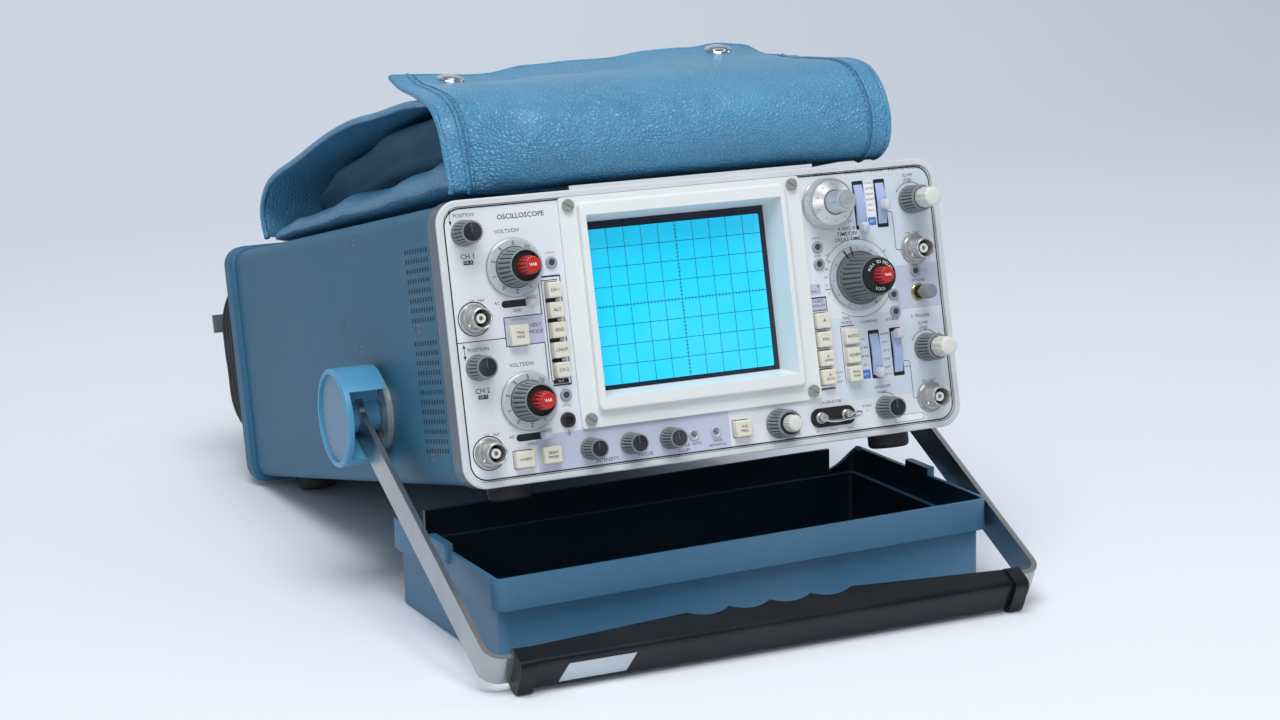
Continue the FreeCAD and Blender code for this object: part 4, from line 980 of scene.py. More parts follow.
def print_bottom_row(moulding):
    """The lavender band with the display's controls, and the rest of the bottom row."""
    zone(moulding, -101.6, 5.3, 4.4, 23.3, LAVENDER)
    words(moulding, ("INTENSITY", -64.4, 6.6, 1.8), ("FOCUS", -43.2, 6.8, 1.8),
          ("SCALE", -21.4, 8.6, 1.6), ("ILLUM", -21.4, 6.0, 1.6), ("ASTIG", -13.9, 8.6, 1.3),
          ("TRACE", -2.4, 8.8, 1.3), ("ROTATION", -2.4, 6.6, 1.3), ("POSITION", 39.6, 6.6, 1.8))
    line(moulding, [(36.4, 4.9), (42.8, 4.9)], 0.3)
    lettering(moulding, "CALIBRATOR", 64.8, 20.9, 1.5)
    for x, text in ((55.6, ".3V"), (65.3, "30mA"), (75.0, "1kHz")):
        lettering(moulding, text, x, 6.3, 1.1, GREY)
    zone(moulding, 101.8, 119.6, 5.6, 9.2, WHITE, 0.05, 1.7)
    line(moulding, outline(110.7, 7.4, 17.8, 3.6, 1.7, 5), 0.22, GREY)


def panel_printing():
    """Everything printed on the panel, as thin ink."""
    moulding = Moulding()
    zone(moulding, 84.6, 138.0, 87.0, 137.6, PALE, 0.01)
    zone(moulding, 71.0, 138.0, 20.0, 64.0, PALE, 0.01)
    zone(moulding, 110.6, 137.8, 64.6, 88.2, LAVENDER)
    for index in (0, 1):
        print_channel(moulding, index + 1, index * CHANNEL_DROP)
        lettering(moulding, "UNCAL", -83.4, (113.6 if index == 0 else 36.4), 1.1, RED)
    print_vertical_mode(moulding)
    print_triggers(moulding)
    print_time_base(moulding)
    print_bottom_row(moulding)
    lettering(moulding, "OSCILLOSCOPE", -96.8, 133.6, 2.5, bold=0.03)
    lettering(moulding, "POWER", 125.0, 79.2, 1.6)
    lettering(moulding, "PULL", 133.2, 75.4, 1.1, GREY)
    lettering(moulding, "ON", 129.8, 84.4, 1.1, RED)
    line(moulding, [(-83.6, 24.0), (-83.6, 22.4)], 0.3)
    for width, z in ((2.4, 22.4), (1.5, 21.7), (0.7, 21.0)):
        line(moulding, [(-83.6 - width / 2, z), (-83.6 + width / 2, z)], 0.25)
    edge = rounded_run(outline(0.0, 72.0, 275.4, 135.4, 8.6, 6), 0.01, 1)
    line(moulding, edge + [edge[0]], 0.7, BLACK, 0.04)
    moulding.piece("panel_printing", "case", inks(), sharp=180.0)


def front_panel():
    repaint(["front_panel"], panel_paint())
    panel_printing()


# ---- display ------------------------------------------------------------------------------------

def glow_material():
    """The display's lit face: a glowing tint under glass."""
    return moulded("Screen Face", colours().screen, 0.25, 0.5, 0.12, 40.0, 0.0, mottle=12.0,
                   Coat_Weight=0.6, Coat_Roughness=0.05, Emission_Strength=0.35,
                   Emission_Color=rgba(colours().screen))


GRID_X, GRID_Z = SCREEN_X + 0.4, SCREEN_Z - 0.9
COLUMN_STEP, ROW_STEP = 9.7, 10.0
TICK = 0.9


def display():
    """The bezel, a dark window edge of painted shade, the lit face and its graticule."""
    repaint(["crt_bezel"], bezel_plastic())
    repaint(["display_tube"], dark_void())
    left, right = SCREEN_X - WINDOW_WIDTH / 2, SCREEN_X + WINDOW_WIDTH / 2
    low, high = SCREEN_Z - WINDOW_HEIGHT / 2, SCREEN_Z + WINDOW_HEIGHT / 2
    # Painted shade: a dark navy plate round the lit face stands in for the shade of the bezel's walls.
    edge = Moulding()
    plate(edge, [(left, low), (right, low), (right, high), (left, high)], FILTER_FACE - 0.1,
          FILTER_FACE - 0.02)
    navy = moulded("Window Edge Shade", linear(16, 28, 52), 0.3, 0.2, 0.1, 900.0, 0.02)
    edge.piece("window_edge_shade", "case", [navy])
    face = Moulding()
    plate(face, outline(GRID_X, GRID_Z, 10 * COLUMN_STEP, 8 * ROW_STEP, 1.0, 3), FILTER_FACE - 0.3,
          FILTER_FACE - 0.12)
    face.piece("screen_face", "case", [glow_material()])
    grid = Moulding()
    width = sizes().graticule_line / MM
    depth = FILTER_FACE - 0.34
    columns = [(step * COLUMN_STEP, 4 * ROW_STEP) for step in range(-4, 5)]
    columns += [(step * COLUMN_STEP / 5, TICK) for step in range(-24, 25) if step % 5]
    rows = [(step * ROW_STEP, 5 * COLUMN_STEP) for step in range(-3, 4)]
    rows += [(step * ROW_STEP / 5, TICK) for step in range(-19, 20) if step % 5]
    for across, reach in columns:
        frame_line(grid, [(GRID_X + across, GRID_Z - reach), (GRID_X + across, GRID_Z + reach)], width, depth)
    for up, reach in rows:
        frame_line(grid, [(GRID_X - reach, GRID_Z + up), (GRID_X + reach, GRID_Z + up)], width, depth)
    teal = moulded("Graticule Ink", linear(20, 96, 118), 0.4, 0.2, 0.1, 900.0, 0.02)
    grid.piece("graticule", "case", [teal], sharp=180.0)


# ---- round controls -----------------------------------------------------------------------------

def small_profile(radius, height):
    """A flared knob with a dark inlay in its top."""
    return [(0.5, radius, 0.0, 0), (1.2, radius, 0.2, 0), (2.6, radius * 0.965, 1.0, 0),
            (height - 1.0, radius * 0.875, 1.0, 0), (height - 0.35, radius * 0.86, 0.5, 0),
            (height, radius * 0.8, 0.0, 0), (height, radius * 0.7, 0.0, 1),
            (height - 0.3, radius * 0.68, 0.0, 1), (height - 0.25, 0.05, 0.0, 1)]


def small_knobs():
    """The plain knobs: position, intensity, focus, scale and holdoff."""
    made = (("ch1_position", 6.7, 13.5), ("ch2_position", 6.7, 13.5), ("intensity", 5.8, 12.5),
            ("focus", 5.8, 12.5), ("scale_light", 5.8, 12.5), ("holdoff", 6.3, 13.5))
    for name, radius, height in made:
        x, z = joint_place(name + "_turn")
        moulding = Moulding()
        fluted(moulding, x, z, small_profile(radius, height), 20, 3)
        frame_line(moulding, [(x, z), (x, z + radius * 0.66)], 0.35, PANEL_FACE - height + 0.2, 2)
        moulding.piece(name + "_knob", name, [knob_plastic(), knob_cap(), grey_ink(), knob_groove()],
                       [name])


def ring_numbers(moulding, texts, x, z, radius, height, finish_index, y):
    """Short texts spread round a ring, upright seen from the middle."""
    for index, text in enumerate(texts):
        angle = math.radians(90.0 - 360.0 * index / len(texts))
        lettering(moulding, text, *around(x, z, radius, angle), height, finish_index, y,
                  turn=angle - math.pi / 2, bold=0.01)


def channel_dials():
    """The two volts dials and their red variable knobs."""
    for channel in ("ch1", "ch2"):
        x, z = joint_place(channel + "_volts_turn")
        dial = Moulding()
        fluted(dial, x, z, [(0.5, 14.9, 0.0, 1), (1.3, 15.0, 0.0, 2), (1.7, 14.9, 0.0, 1),
                            (2.3, 14.2, 0.0, 1), (2.6, 13.2, 0.0, 1), (2.6, 10.6, 0.0, 3),
                            (2.7, 10.2, 0.0, 0), (3.6, 10.0, 1.0, 0), (15.8, 8.9, 1.0, 0),
                            (16.8, 8.7, 0.6, 0), (17.3, 8.2, 0.0, 0), (17.5, 7.8, 0.0, 4),
                            (17.3, 7.2, 0.0, 4), (16.4, 7.0, 0.0, 4), (16.3, 0.1, 0.0, 4)],
               sizes().flutes, 5)
        ring_numbers(dial, DIAL_NUMBERS, x, z, 12.0, 2.2, 3, PANEL_FACE - 2.68)
        dial.piece(channel + "_volts_dial", channel + "_volts",
                   [knob_plastic(), skirt_plastic(), grey_ink(), black_ink(), dark_void(),
                    knob_groove()],
                   [channel + "_volts"])
        red_knob(channel + "_variable", 17.9, 5.0, 9.2)


def red_knob(name, base, radius, length):
    """A red fluted knob with VAR on its face."""
    x, z = joint_place(name + "_turn")
    top = base + length
    moulding = Moulding()
    fluted(moulding, x, z, [(base, radius * 0.96, 0.0, 0), (base + 0.5, radius, 0.5, 0),
                            (base + 1.4, radius * 0.98, 0.9, 0), (top - 1.0, radius * 0.87, 0.9, 0),
                            (top - 0.3, radius * 0.82, 0.4, 0), (top, radius * 0.72, 0.0, 0),
                            (top, 0.05, 0.0, 0)], 14, 2)
    lettering(moulding, "VAR", x, z, 1.5, 1, PANEL_FACE - top - 0.05, bold=0.02)
    moulding.piece(name + "_knob", name, [red_plastic(), white_ink(), red_groove()],
                   [name])


def time_dial():
    """The time dial: clear skirt, big fluted knob, black sweep ring and red knob."""
    x, z = joint_place("time_main_turn")
    dial = Moulding()
    fluted(dial, x, z, [(0.5, 17.1, 0.0, 1), (1.4, 17.2, 0.0, 2), (1.8, 17.1, 0.0, 1),
                        (2.6, 16.6, 0.0, 1), (2.8, 14.6, 0.0, 1), (2.8, 14.3, 0.0, 2),
                        (2.8, 12.6, 0.0, 1), (2.8, 12.4, 0.0, 3), (2.9, 12.0, 0.0, 0),
                        (3.8, 11.7, 1.0, 0), (20.8, 10.7, 1.0, 0), (21.8, 10.4, 0.6, 0),
                        (22.4, 9.9, 0.0, 0), (22.5, 9.4, 0.0, 3), (22.3, 9.3, 0.0, 3),
                        (22.2, 0.1, 0.0, 3)], 26, 4)
    for angle in (104.0, 119.0):
        turn = math.radians(angle)
        frame_line(dial, [around(x, z, 12.4, turn), around(x, z, 17.0, turn)], 0.8, PANEL_FACE - 2.9, 3)
    ring_numbers(dial, ("1", "2", "5", "10", "20", "50", ".1", ".2", ".5", "1", "2", "5"), x, z, 15.6,
                 1.25, 3, PANEL_FACE - 2.88)
    dial.piece("time_main_dial", "time_main",
               [dark_knob(), skirt_plastic(), grey_ink(), black_ink(), knob_groove()],
               ["time_main"])
    ring = Moulding()
    turned(ring, x, z, [(22.9, 9.1, 0), (23.1, 9.2, 0), (24.9, 9.1, 0), (25.3, 8.8, 0), (25.3, 0.1, 0)])
    for text, start, step in (("PULL TO DELAY", 152.0, -10.4), ("LOCK", 244.0, 12.0)):
        for index, letter in enumerate(text):
            angle = math.radians(start + step * index)
            spin = angle - math.pi / 2 if step < 0 else angle + math.pi / 2
            lettering(ring, letter, *around(x, z, 7.1, angle), 1.5, 1, PANEL_FACE - 25.36, turn=spin,
                      bold=0.02)
    ring.piece("time_delayed_ring", "time_delayed", [dark_void(), white_ink()],
               ["time_delayed"])
    red_knob("time_variable", 25.7, 4.7, 7.6)


def delay_dial():
    """The turned dial with its long crank cap and engraved rings."""
    x, z = joint_place("delay_dial_turn")
    moulding = Moulding()
    turned(moulding, x, z, [(0.5, 13.3, 0), (0.9, 13.5, 0), (2.2, 13.5, 0), (2.4, 13.3, 1),
                            (2.7, 13.3, 1), (2.9, 13.5, 0), (8.3, 13.2, 0), (8.9, 12.9, 0),
                            (9.0, 12.6, 0), (9.0, 12.1, 1), (9.05, 12.0, 0), (9.1, 11.6, 0),
                            (12.4, 7.2, 0), (12.5, 6.6, 0), (12.3, 6.5, 1), (12.3, 6.2, 1),
                            (12.6, 6.0, 0), (24.3, 5.7, 0), (24.8, 5.4, 0), (25.0, 4.8, 0),
                            (25.0, 4.2, 0), (24.9, 4.0, 1), (25.0, 3.8, 0), (25.0, 0.05, 0)], 56)
    for index in range(10):
        angle = math.radians(90 - 36 * index)
        lettering(moulding, str(index), *around(x, z, 9.4, angle), 1.25, 1, PANEL_FACE - 10.95,
                  turn=angle - math.pi / 2)
    for index in range(50):
        angle = 2 * math.pi * index / 50
        near = 11.7 if index % 5 else 11.4
        frame_line(moulding, [around(x, z, near, angle), around(x, z, 12.5, angle)], 0.22,
                   PANEL_FACE - 9.22, 1)
    moulding.piece("delay_dial_turned", "delay_dial", [turned_aluminium(), grey_ink()],
                   ["delay_dial"])


def level_knobs():
    """The level and slope pairs, and the sweep position pair."""
    pairs = (("b_level", 7.6, 13.5, "b_slope", 5.5, 11.0, 10), ("a_level", 7.6, 13.5, "a_slope", 5.5,
             11.0, 10), ("sweep_position", 7.9, 12.5, "sweep_fine", 4.6, 7.0, 18))
    for outer, radius, height, inner, cap, length, facets in pairs:
        x, z = joint_place(outer + "_turn")
        knob = Moulding()
        fluted(knob, x, z, [(0.5, radius, 0.0, 0), (1.2, radius, 0.3, 0), (2.4, radius * 0.98, 1.0, 0),
                            (height - 1.2, radius * 0.93, 1.0, 0), (height - 0.4, radius * 0.91, 0.5, 0),
                            (height, radius * 0.84, 0.0, 0), (height, radius * 0.72, 0.0, 1),
                            (height - 0.4, 0.1, 0.0, 1)], 24, 2)
        knob.piece(outer + "_knob", outer, [knob_plastic(), dark_void(), knob_groove()],
                   [outer])
        base = height + 0.4
        top = base + length
        end = Moulding()
        fluted(end, x, z, [(base, cap * 0.94, 0.0, 0), (base + 0.5, cap, 0.6, 0),
                           (base + length * 0.75, cap * 0.95, 0.8, 0), (top - 0.8, cap * 0.88, 0.4, 0),
                           (top - 0.2, cap * 0.74, 0.0, 0), (top, cap * 0.55, 0.0, 0),
                           (top, 0.05, 0.0, 0)], facets, 0)
        end.piece(inner + "_cap", inner, [pale_cap()], [inner])


# ---- buttons and levers -------------------------------------------------------------------------

BUTTON_TEXTS = {
    "trigger_view": ("TRIG", "VIEW"), "vertical_mode_1": ("CH 1",), "vertical_mode_2": ("ALT",),
    "vertical_mode_3": ("ADD",), "vertical_mode_4": ("CHOP",), "vertical_mode_5": ("CH 2",),
    "invert": ("INVERT",), "beam_finder": ("BEAM", "FINDER"), "magnifier": ("X10", "MAG"),
    "display_mode_1": ("A",), "display_mode_2": ("MIX",), "display_mode_3": ("A", "INTEN"),
    "display_mode_4": ("B", "DLY'D"), "trigger_mode_1": ("AUTO",), "trigger_mode_2": ("NORM",),
    "trigger_mode_3": ("SINGL", "SWP"),
}
BUTTON_SIZES = {"trigger_view": (10.0, 10.5), "vertical_mode": (7.6, 8.0), "invert": (10.0, 8.6),
                "beam_finder": (10.0, 8.6), "magnifier": (9.4, 8.6), "display_mode": (7.8, 8.2),
                "trigger_mode": (7.8, 8.2)}


def button_size(name):
    """The width and height of a button, by its name without its number."""
    return BUTTON_SIZES.get(name) or BUTTON_SIZES[name.rsplit("_", 1)[0]]


def buttons():
    """The ivory push buttons with their lettering, and the power button."""
    for name, texts in BUTTON_TEXTS.items():
        x, z = node_middle(name).xz
        width, height = button_size(name)
        moulding = Moulding()
        rings = []
        for rise, inset, round_radius in ((-2.0, 0.0, 0.8), (3.7, 0.0, 0.8), (4.25, 0.12, 0.8),
                                          (4.52, 0.4, 0.8), (4.6, 0.9, 0.8), (4.5, 1.5, 0.8)):
            corners = outline(x, z, width - 2 * inset, height - 2 * inset, round_radius, 3)
            rings.append([(px, PANEL_FACE - rise, pz) for px, pz in corners])
        moulding.rings(rings)
        for index, text in enumerate(texts):
            high = 1.35 if len(texts) > 1 else 1.6
            place = z + (len(texts) - 1) * 1.1 - index * 2.2
            lettering(moulding, text, x, place, high * (0.85 if len(text) > 4 else 1.0), 1,
                      PANEL_FACE - 4.64)
        moulding.piece(name + "_cap", name, [button_plastic(), black_ink()], [name])
    x, z = node_middle("power_button").xz
    power = Moulding()
    turned(power, x, z, [(-2.0, 2.2, 1), (2.0, 2.2, 1), (7.0, 2.2, 1), (7.0, 3.7, 0), (7.4, 4.0, 0),
                         (13.4, 3.8, 0), (13.9, 3.4, 0), (14.0, 2.8, 0), (14.0, 0.05, 0)], 32)
    # Finish 2, near-black, is painted shade in the gap between the stem and the brass ring.
    turned(power, x, z, [(0.02, 4.6, 1), (0.8, 4.6, 1), (1.2, 4.2, 1), (1.2, 3.4, 1), (0.6, 3.2, 2),
                         (0.6, 0.1, 2)], 32)
    power.piece("power_button_cap", "power_button", [knob_plastic(), brass(), dark_void()],
                ["power_button"])


def paddle(moulding, pivot, lean, upright, base, length, across, along):
    """A tapered lever tip at the end of a radius from its pivot; lean is in radians."""
    px, py, pz = pivot
    rings = []
    for share, grow_across, grow_along in ((0.0, 0.7, 0.42), (0.3, 1.0, 0.72), (0.6, 0.8, 0.86),
                                           (0.92, 0.62, 0.74), (1.0, 0.4, 0.5)):
        radius = base + share * length
        ring = []
        for u, v in outline(0.0, 0.0, across * grow_across, along * grow_along, 1.0, 3):
            forward = radius * math.cos(lean) - v * math.sin(lean)
            sideways = radius * math.sin(lean) + v * math.cos(lean)
            if upright:
                ring.append((px + u, py - forward, pz + sideways))
            else:
                ring.append((px + sideways, py - forward, pz + u))
        rings.append(ring)
    moulding.rings(rings)


def levers():
    """The lever switches: pale tips, and the curved tracks that they run on."""
    for name in ("ch1_coupling", "ch2_coupling", "b_coupling", "b_source", "a_coupling", "a_source"):
        pivot = FROM_ROW @ Vector(JOINTS[name + "_shift"]["pos_m"])
        middle = node_middle(name)
        upright = not name.startswith("ch")
        shift = middle.z - pivot.z if upright else middle.x - pivot.x
        lean = math.atan2(shift, pivot.y - middle.y)
        tip = Moulding()
        base = 32.6 if upright else 31.0
        paddle(tip, tuple(pivot), lean, upright, base, 38.0 - base, 5.2, 6.4)
        tip.piece(name + "_tip", name, [lever_plastic()], [name])
        if upright:
            track = Moulding()
            rings = []
            for step in range(17):
                angle = math.radians(-19.5 + 39.0 * step / 16)
                ring = []
                for across, radius in ((-2.5, 30.6), (-2.5, 31.9), (-2.0, 32.3), (2.0, 32.3),
                                       (2.5, 31.9), (2.5, 30.6)):
                    ring.append((pivot.x + across, pivot.y - radius * math.cos(angle),
                                 pivot.z + radius * math.sin(angle)))
                rings.append(ring)
            track.rings(rings)
            track.piece(name + "_track", "case", [track_plastic()])


# ---- sockets and other fittings -----------------------------------------------------------------

def input_sockets():
    """The four coaxial sockets, with bayonet lugs."""
    moulding = Moulding()
    for x, z in ((-127.3, 84.5), (-127.3, 17.5), (124.7, 95.9), (124.7, 16.9)):
        # Finish 2 paints shade at the bottom of the gaps in each socket's bore.
        turned(moulding, x, z, [(0.02, 7.6, 0), (1.2, 7.6, 0), (1.7, 7.1, 0), (1.7, 6.7, 0),
                                (2.4, 6.5, 0), (2.6, 5.6, 0), (3.4, 5.0, 0), (7.8, 4.8, 0),
                                (8.0, 5.5, 0), (11.6, 5.6, 0), (12.3, 5.4, 0), (12.5, 5.0, 0),
                                (12.3, 4.5, 0), (9.0, 4.3, 0), (4.0, 4.2, 2), (4.0, 2.6, 1),
                                (10.2, 2.5, 1), (10.4, 2.2, 1), (10.4, 1.2, 1), (8.6, 1.1, 2),
                                (8.6, 0.7, 0), (9.4, 0.5, 0), (9.4, 0.05, 0)], 36)
        for side in (-1, 1):
            turn = math.radians(35)
            centre = (x + side * 5.2 * math.cos(turn), z + side * 5.2 * math.sin(turn))
            rings = []
            for share, radius in ((0.0, 1.1), (1.3, 1.1), (1.6, 0.8), (1.6, 0.05)):
                rings.append([(centre[0] + side * share * math.cos(turn) - radius * c * math.sin(turn),
                               PANEL_FACE - 6.2 - radius * s,
                               centre[1] + side * share * math.sin(turn) + radius * c * math.cos(turn))
                              for c, s in circle(12)])
            moulding.rings(rings)
    dielectric = moulded("Socket Insulator", linear(232, 232, 226), 0.4, 0.2, -0.1)
    moulding.piece("input_sockets", "case", [nickel(), dielectric, dark_void()],
                   ["panel_fittings"])


def lamps_and_jack():
    """Indicator lamps, screwdriver adjusters and the ground jack."""
    moulding = Moulding()
    for x, z in ((-83.2, 108.6), (-83.2, 41.6), (66.8, 102.3), (66.8, 93.3), (109.0, 73.2),
                 (109.0, 64.2), (123.5, 84.5)):
        turned(moulding, x, z, [(0.02, 3.1, 0), (0.9, 3.1, 0), (1.4, 2.7, 0), (1.5, 1.9, 0),
                                (1.0, 1.6, 1), (1.1, 0.9, 1), (1.15, 0.05, 1)], 28)
    for x, z in ((-15.4, 13.3), (-2.9, 13.3)):
        turned(moulding, x, z, [(0.02, 2.9, 2), (0.8, 2.8, 2), (1.0, 2.4, 2), (0.6, 1.9, 2),
                                (0.2, 1.8, 3), (0.2, 0.05, 3)], 28)
        # The dark line across each adjuster is its screwdriver slot, drawn as painted shade.
        frame_line(moulding, [(x - 0.9, z + 0.7), (x + 0.9, z - 0.7)], 0.5, PANEL_FACE - 0.3, 4)
    turned(moulding, -83.6, 29.1, [(0.02, 4.0, 5), (1.4, 3.9, 5), (2.3, 3.5, 5), (2.4, 3.0, 5),
                                   (2.2, 2.2, 5), (-6.0, 2.0, 5), (-6.0, 0.05, 5)], 28)
    moulding.piece("lamps_and_jack", "case",
                   [moulded("Lamp Ring", linear(150, 158, 166), 0.4, 0.2, 0.1),
                    moulded("Lamp Lens", linear(58, 66, 92), 0.2, 0.2, 0.1),
                    moulded("Adjuster Ring", linear(176, 190, 204), 0.4, 0.2, 0.1),
                    nickel(), dark_void(), moulded("Jack Collar", linear(24, 26, 28), 0.35)])


def calibrator():
    """The calibrator: black plate, two posts, a bright wire loop and a hook."""
    x, z = 65.3, 13.3
    moulding = Moulding()
    plate(moulding, outline(x, z, 26.0, 10.0, 4.9, 7), PANEL_FACE - 1.4, PANEL_FACE - 0.02, 0)
    for side in (-1, 1):
        turned(moulding, x + side * 7.6, z, [(1.4, 3.0, 1), (2.4, 3.0, 1), (2.8, 2.4, 1),
                                             (5.4, 2.2, 1), (6.2, 2.0, 1), (6.5, 1.4, 1),
                                             (6.5, 0.05, 1)], 24)
    run = [(x - 7.6, PANEL_FACE - 5.0, z - 0.6), (x - 4.6, PANEL_FACE - 5.9, z - 1.7),
           (x, PANEL_FACE - 6.2, z - 2.2), (x + 4.4, PANEL_FACE - 6.0, z - 2.0),
           (x + 8.4, PANEL_FACE - 6.6, z - 1.6), (x + 11.6, PANEL_FACE - 7.4, z - 0.8),
           (x + 13.2, PANEL_FACE - 7.8, z + 0.4), (x + 11.6, PANEL_FACE - 7.4, z + 1.0),
           (x + 7.6, PANEL_FACE - 6.0, z + 0.4)]
    tube(moulding, smooth_line(run, 6), 0.75, 2, 10)
    moulding.piece("calibrator_loop", "case", [dark_void(), nickel(), bright_chrome()])


def smooth_line(points, steps=6):
    """A smooth line through points, with steps to each run."""
    places = [Vector(point) for point in points]
    found = []
    for index in range(len(places) - 1):
        before = places[max(index - 1, 0)]
        start, end = places[index], places[index + 1]
        after = places[min(index + 2, len(places) - 1)]
        for step in range(steps):
            t = step / steps
            found.append(0.5 * ((2 * start) + (end - before) * t
                                + (2 * before - 5 * start + 4 * end - after) * t * t
                                + (3 * start - before - 3 * end + after) * t * t * t))
    found.append(places[-1])
    return found


# ---- rear panel, winding and plug ---------------------------------------------------------------

CORD_DIAMETER = 7.0
GLAND_X, GLAND_Z = 68.0, 24.0
WINDING_REACH = 43.0
WINDING_LAYER = POST_ROOT + 11.5
WINDING_LOW = POST_LOW - WINDING_REACH
WINDING_PITCH = 7.8
WINDING_TURNS = 4


def winding_route():
    """The cord's points, in millimetres: out of the gland, round the posts and up to the plug."""
    layer, low = WINDING_LAYER, WINDING_LOW
    high = POST_HIGH + WINDING_REACH
    route = [(GLAND_X, layer, GLAND_Z), (50.0, layer, GLAND_Z), (26.0, layer, 19.0), (0.0, layer, low + 2.0),
             (-48.0, layer - 0.4, low - 0.2)]
    cut = WINDING_REACH * math.tan(math.radians(22.5))
    run = (WINDING_REACH - cut) * math.sqrt(2.0)
    corners = ((-1, -1), (-1, 1), (1, 1), (1, -1))
    for turn in range(WINDING_TURNS):
        for index, (side, end) in enumerate(corners):
            y = layer + (turn + index / 4.0) * WINDING_PITCH
            x = side * (POST_X + WINDING_REACH)
            level = high if end > 0 else low
            flat_x = side * (POST_X + cut)
            upright_z = POST_HIGH + cut if end > 0 else POST_LOW - cut
            bend = [(flat_x - side * run, y - 0.2, level), (flat_x, y, level),
                    (x, y + WINDING_PITCH / 16, upright_z), (x, y + 0.7, upright_z - end * run)]
            route += bend if index in (0, 2) else bend[::-1]
    route.pop()
    last = layer + WINDING_TURNS * WINDING_PITCH
    route += [(89.0, last - 0.4, low + 0.1), (70.0, last - 4.2, low + 6.4), (44.0, last - 9.5, low + 11.0),
              (14.0, last - 12.5, low + 12.8), (-20.0, last - 13.5, low + 13.2)]
    return route


def mains_cord():
    """The cord wound on the rear posts, its tapered relief and its plug."""
    line_data = bpy.data.curves.new("mains_cord", "CURVE")
    line_data.dimensions = "3D"
    line_data.resolution_u = 8
    line_data.bevel_depth = CORD_DIAMETER / 2 * MM
    line_data.bevel_resolution = 3
    line_data.use_fill_caps = True
    spline = line_data.splines.new("NURBS")
    points = [INSTRUMENT @ Vector(point) for point in winding_route()]
    spline.points.add(len(points) - 1)
    for knot, point in zip(spline.points, points):
        knot.co = (point.x, point.y, point.z, 1.0)
    spline.order_u = 3
    spline.use_endpoint_u = True
    line_data.materials.append(cord_rubber())
    flex = bpy.data.objects.new("mains_cord", line_data)
    bpy.context.scene.collection.objects.link(flex)
    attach(flex, "case")
    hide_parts("power_cord")
    relief = Moulding()
    rings = []
    for step in range(33):
        share = step / 32
        radius = 5.9 - 1.7 * share - (0.5 if step % 4 in (2, 3) and 2 < step < 31 else 0.0)
        x = 70.5 - 26.5 * share
        sag = 0.35 * max(share - 0.6, 0.0)
        rings.append([(x, WINDING_LAYER + radius * c, GLAND_Z - sag + radius * s) for c, s in circle(20)])
    relief.rings(rings)
    sleeve = relief.piece("cord_relief", "case", [cord_rubber()])
    repaint(["power_plug"], cord_rubber())


def rear_panel():
    """The rear panel's finish, its screws, a fuse cap, and vents drawn as dark plates of painted shade."""
    repaint(["rear_panel"], rear_plastic())
    moulding = Moulding()
    base = POST_ROOT
    for x in (-84.0, 84.0):
        for z in (62.0, 84.0):
            turned(moulding, x, z, [(-0.02, 3.4, 0), (-1.2, 3.3, 0), (-1.7, 2.6, 0), (-1.7, 0.05, 0)],
                   20, base)
    turned(moulding, 40.0, 44.0, [(-0.02, 8.5, 1), (-2.0, 8.3, 1), (-2.4, 7.0, 1), (-7.5, 6.8, 1),
                                  (-8.2, 6.0, 1), (-8.2, 0.05, 1)], 28, base)
    # Painted shade: each vent slot is a dark plate on the panel.
    for row in range(7):
        plate(moulding, outline(-20.0, 62.0 + row * 6.0, 64.0, 2.6, 1.2, 4), base + 0.12, base + 0.02, 2)
    moulding.piece("rear_fittings", "case", [nickel(), foot_rubber(), dark_void()])


# ---- handle -------------------------------------------------------------------------------------

HANDLE = (INSTRUMENT @ Matrix.Translation(Vector((0.0, HUB_Y, HUB_Z)))
          @ Matrix.Rotation(STAND_ANGLE, 4, "X"))
GRIP_FRONT = -212.0


def handle():
    """Finishes of the bar, grip and hubs, with the hubs' faces and the grip's blank label."""
    repaint(["handle_bail"], brushed_steel())
    repaint(["handle_grip"], grip_plastic())
    repaint(["handle_hubs"], hub_plastic())
    faces = Moulding()
    for side in (-1, 1):
        rings = []
        for x, radius in ((HUB_OUTER - 2.0, 23.4), (HUB_OUTER - 1.85, 23.3), (HUB_OUTER - 1.8, 21.4),
                          (HUB_OUTER - 1.7, 0.05)):
            rings.append([(side * x, radius * c, radius * s) for c, s in circle(64)])
        faces.rings(rings)
    faces.piece("hub_faces", "handle", [hub_face()], placed=HANDLE)
    label = Moulding()
    slant = 4.0
    corners = [(-120.0, -5.6), (-80.0 - slant, -5.6), (-80.0, 5.6), (-120.0 + slant, 5.6)]
    plate(label, corners, GRIP_FRONT - 0.35, GRIP_FRONT - 0.02, 0)
    silver = metal("Label Foil", linear(196, 204, 210), 0.35, -0.08)
    label.piece("grip_label", "handle", [silver], placed=HANDLE)


# ---- front cover --------------------------------------------------------------------------------

COVER_TURN = math.radians(2.6)
# Half width, half depth and floor height of the tray's interior, in two parts, where painted shade darkens
# the cover.
COVER_HALVES = ((138.9, 62.9, 1.0), (142.4, 66.5, 33.2))
COVER_BAND = 36.0


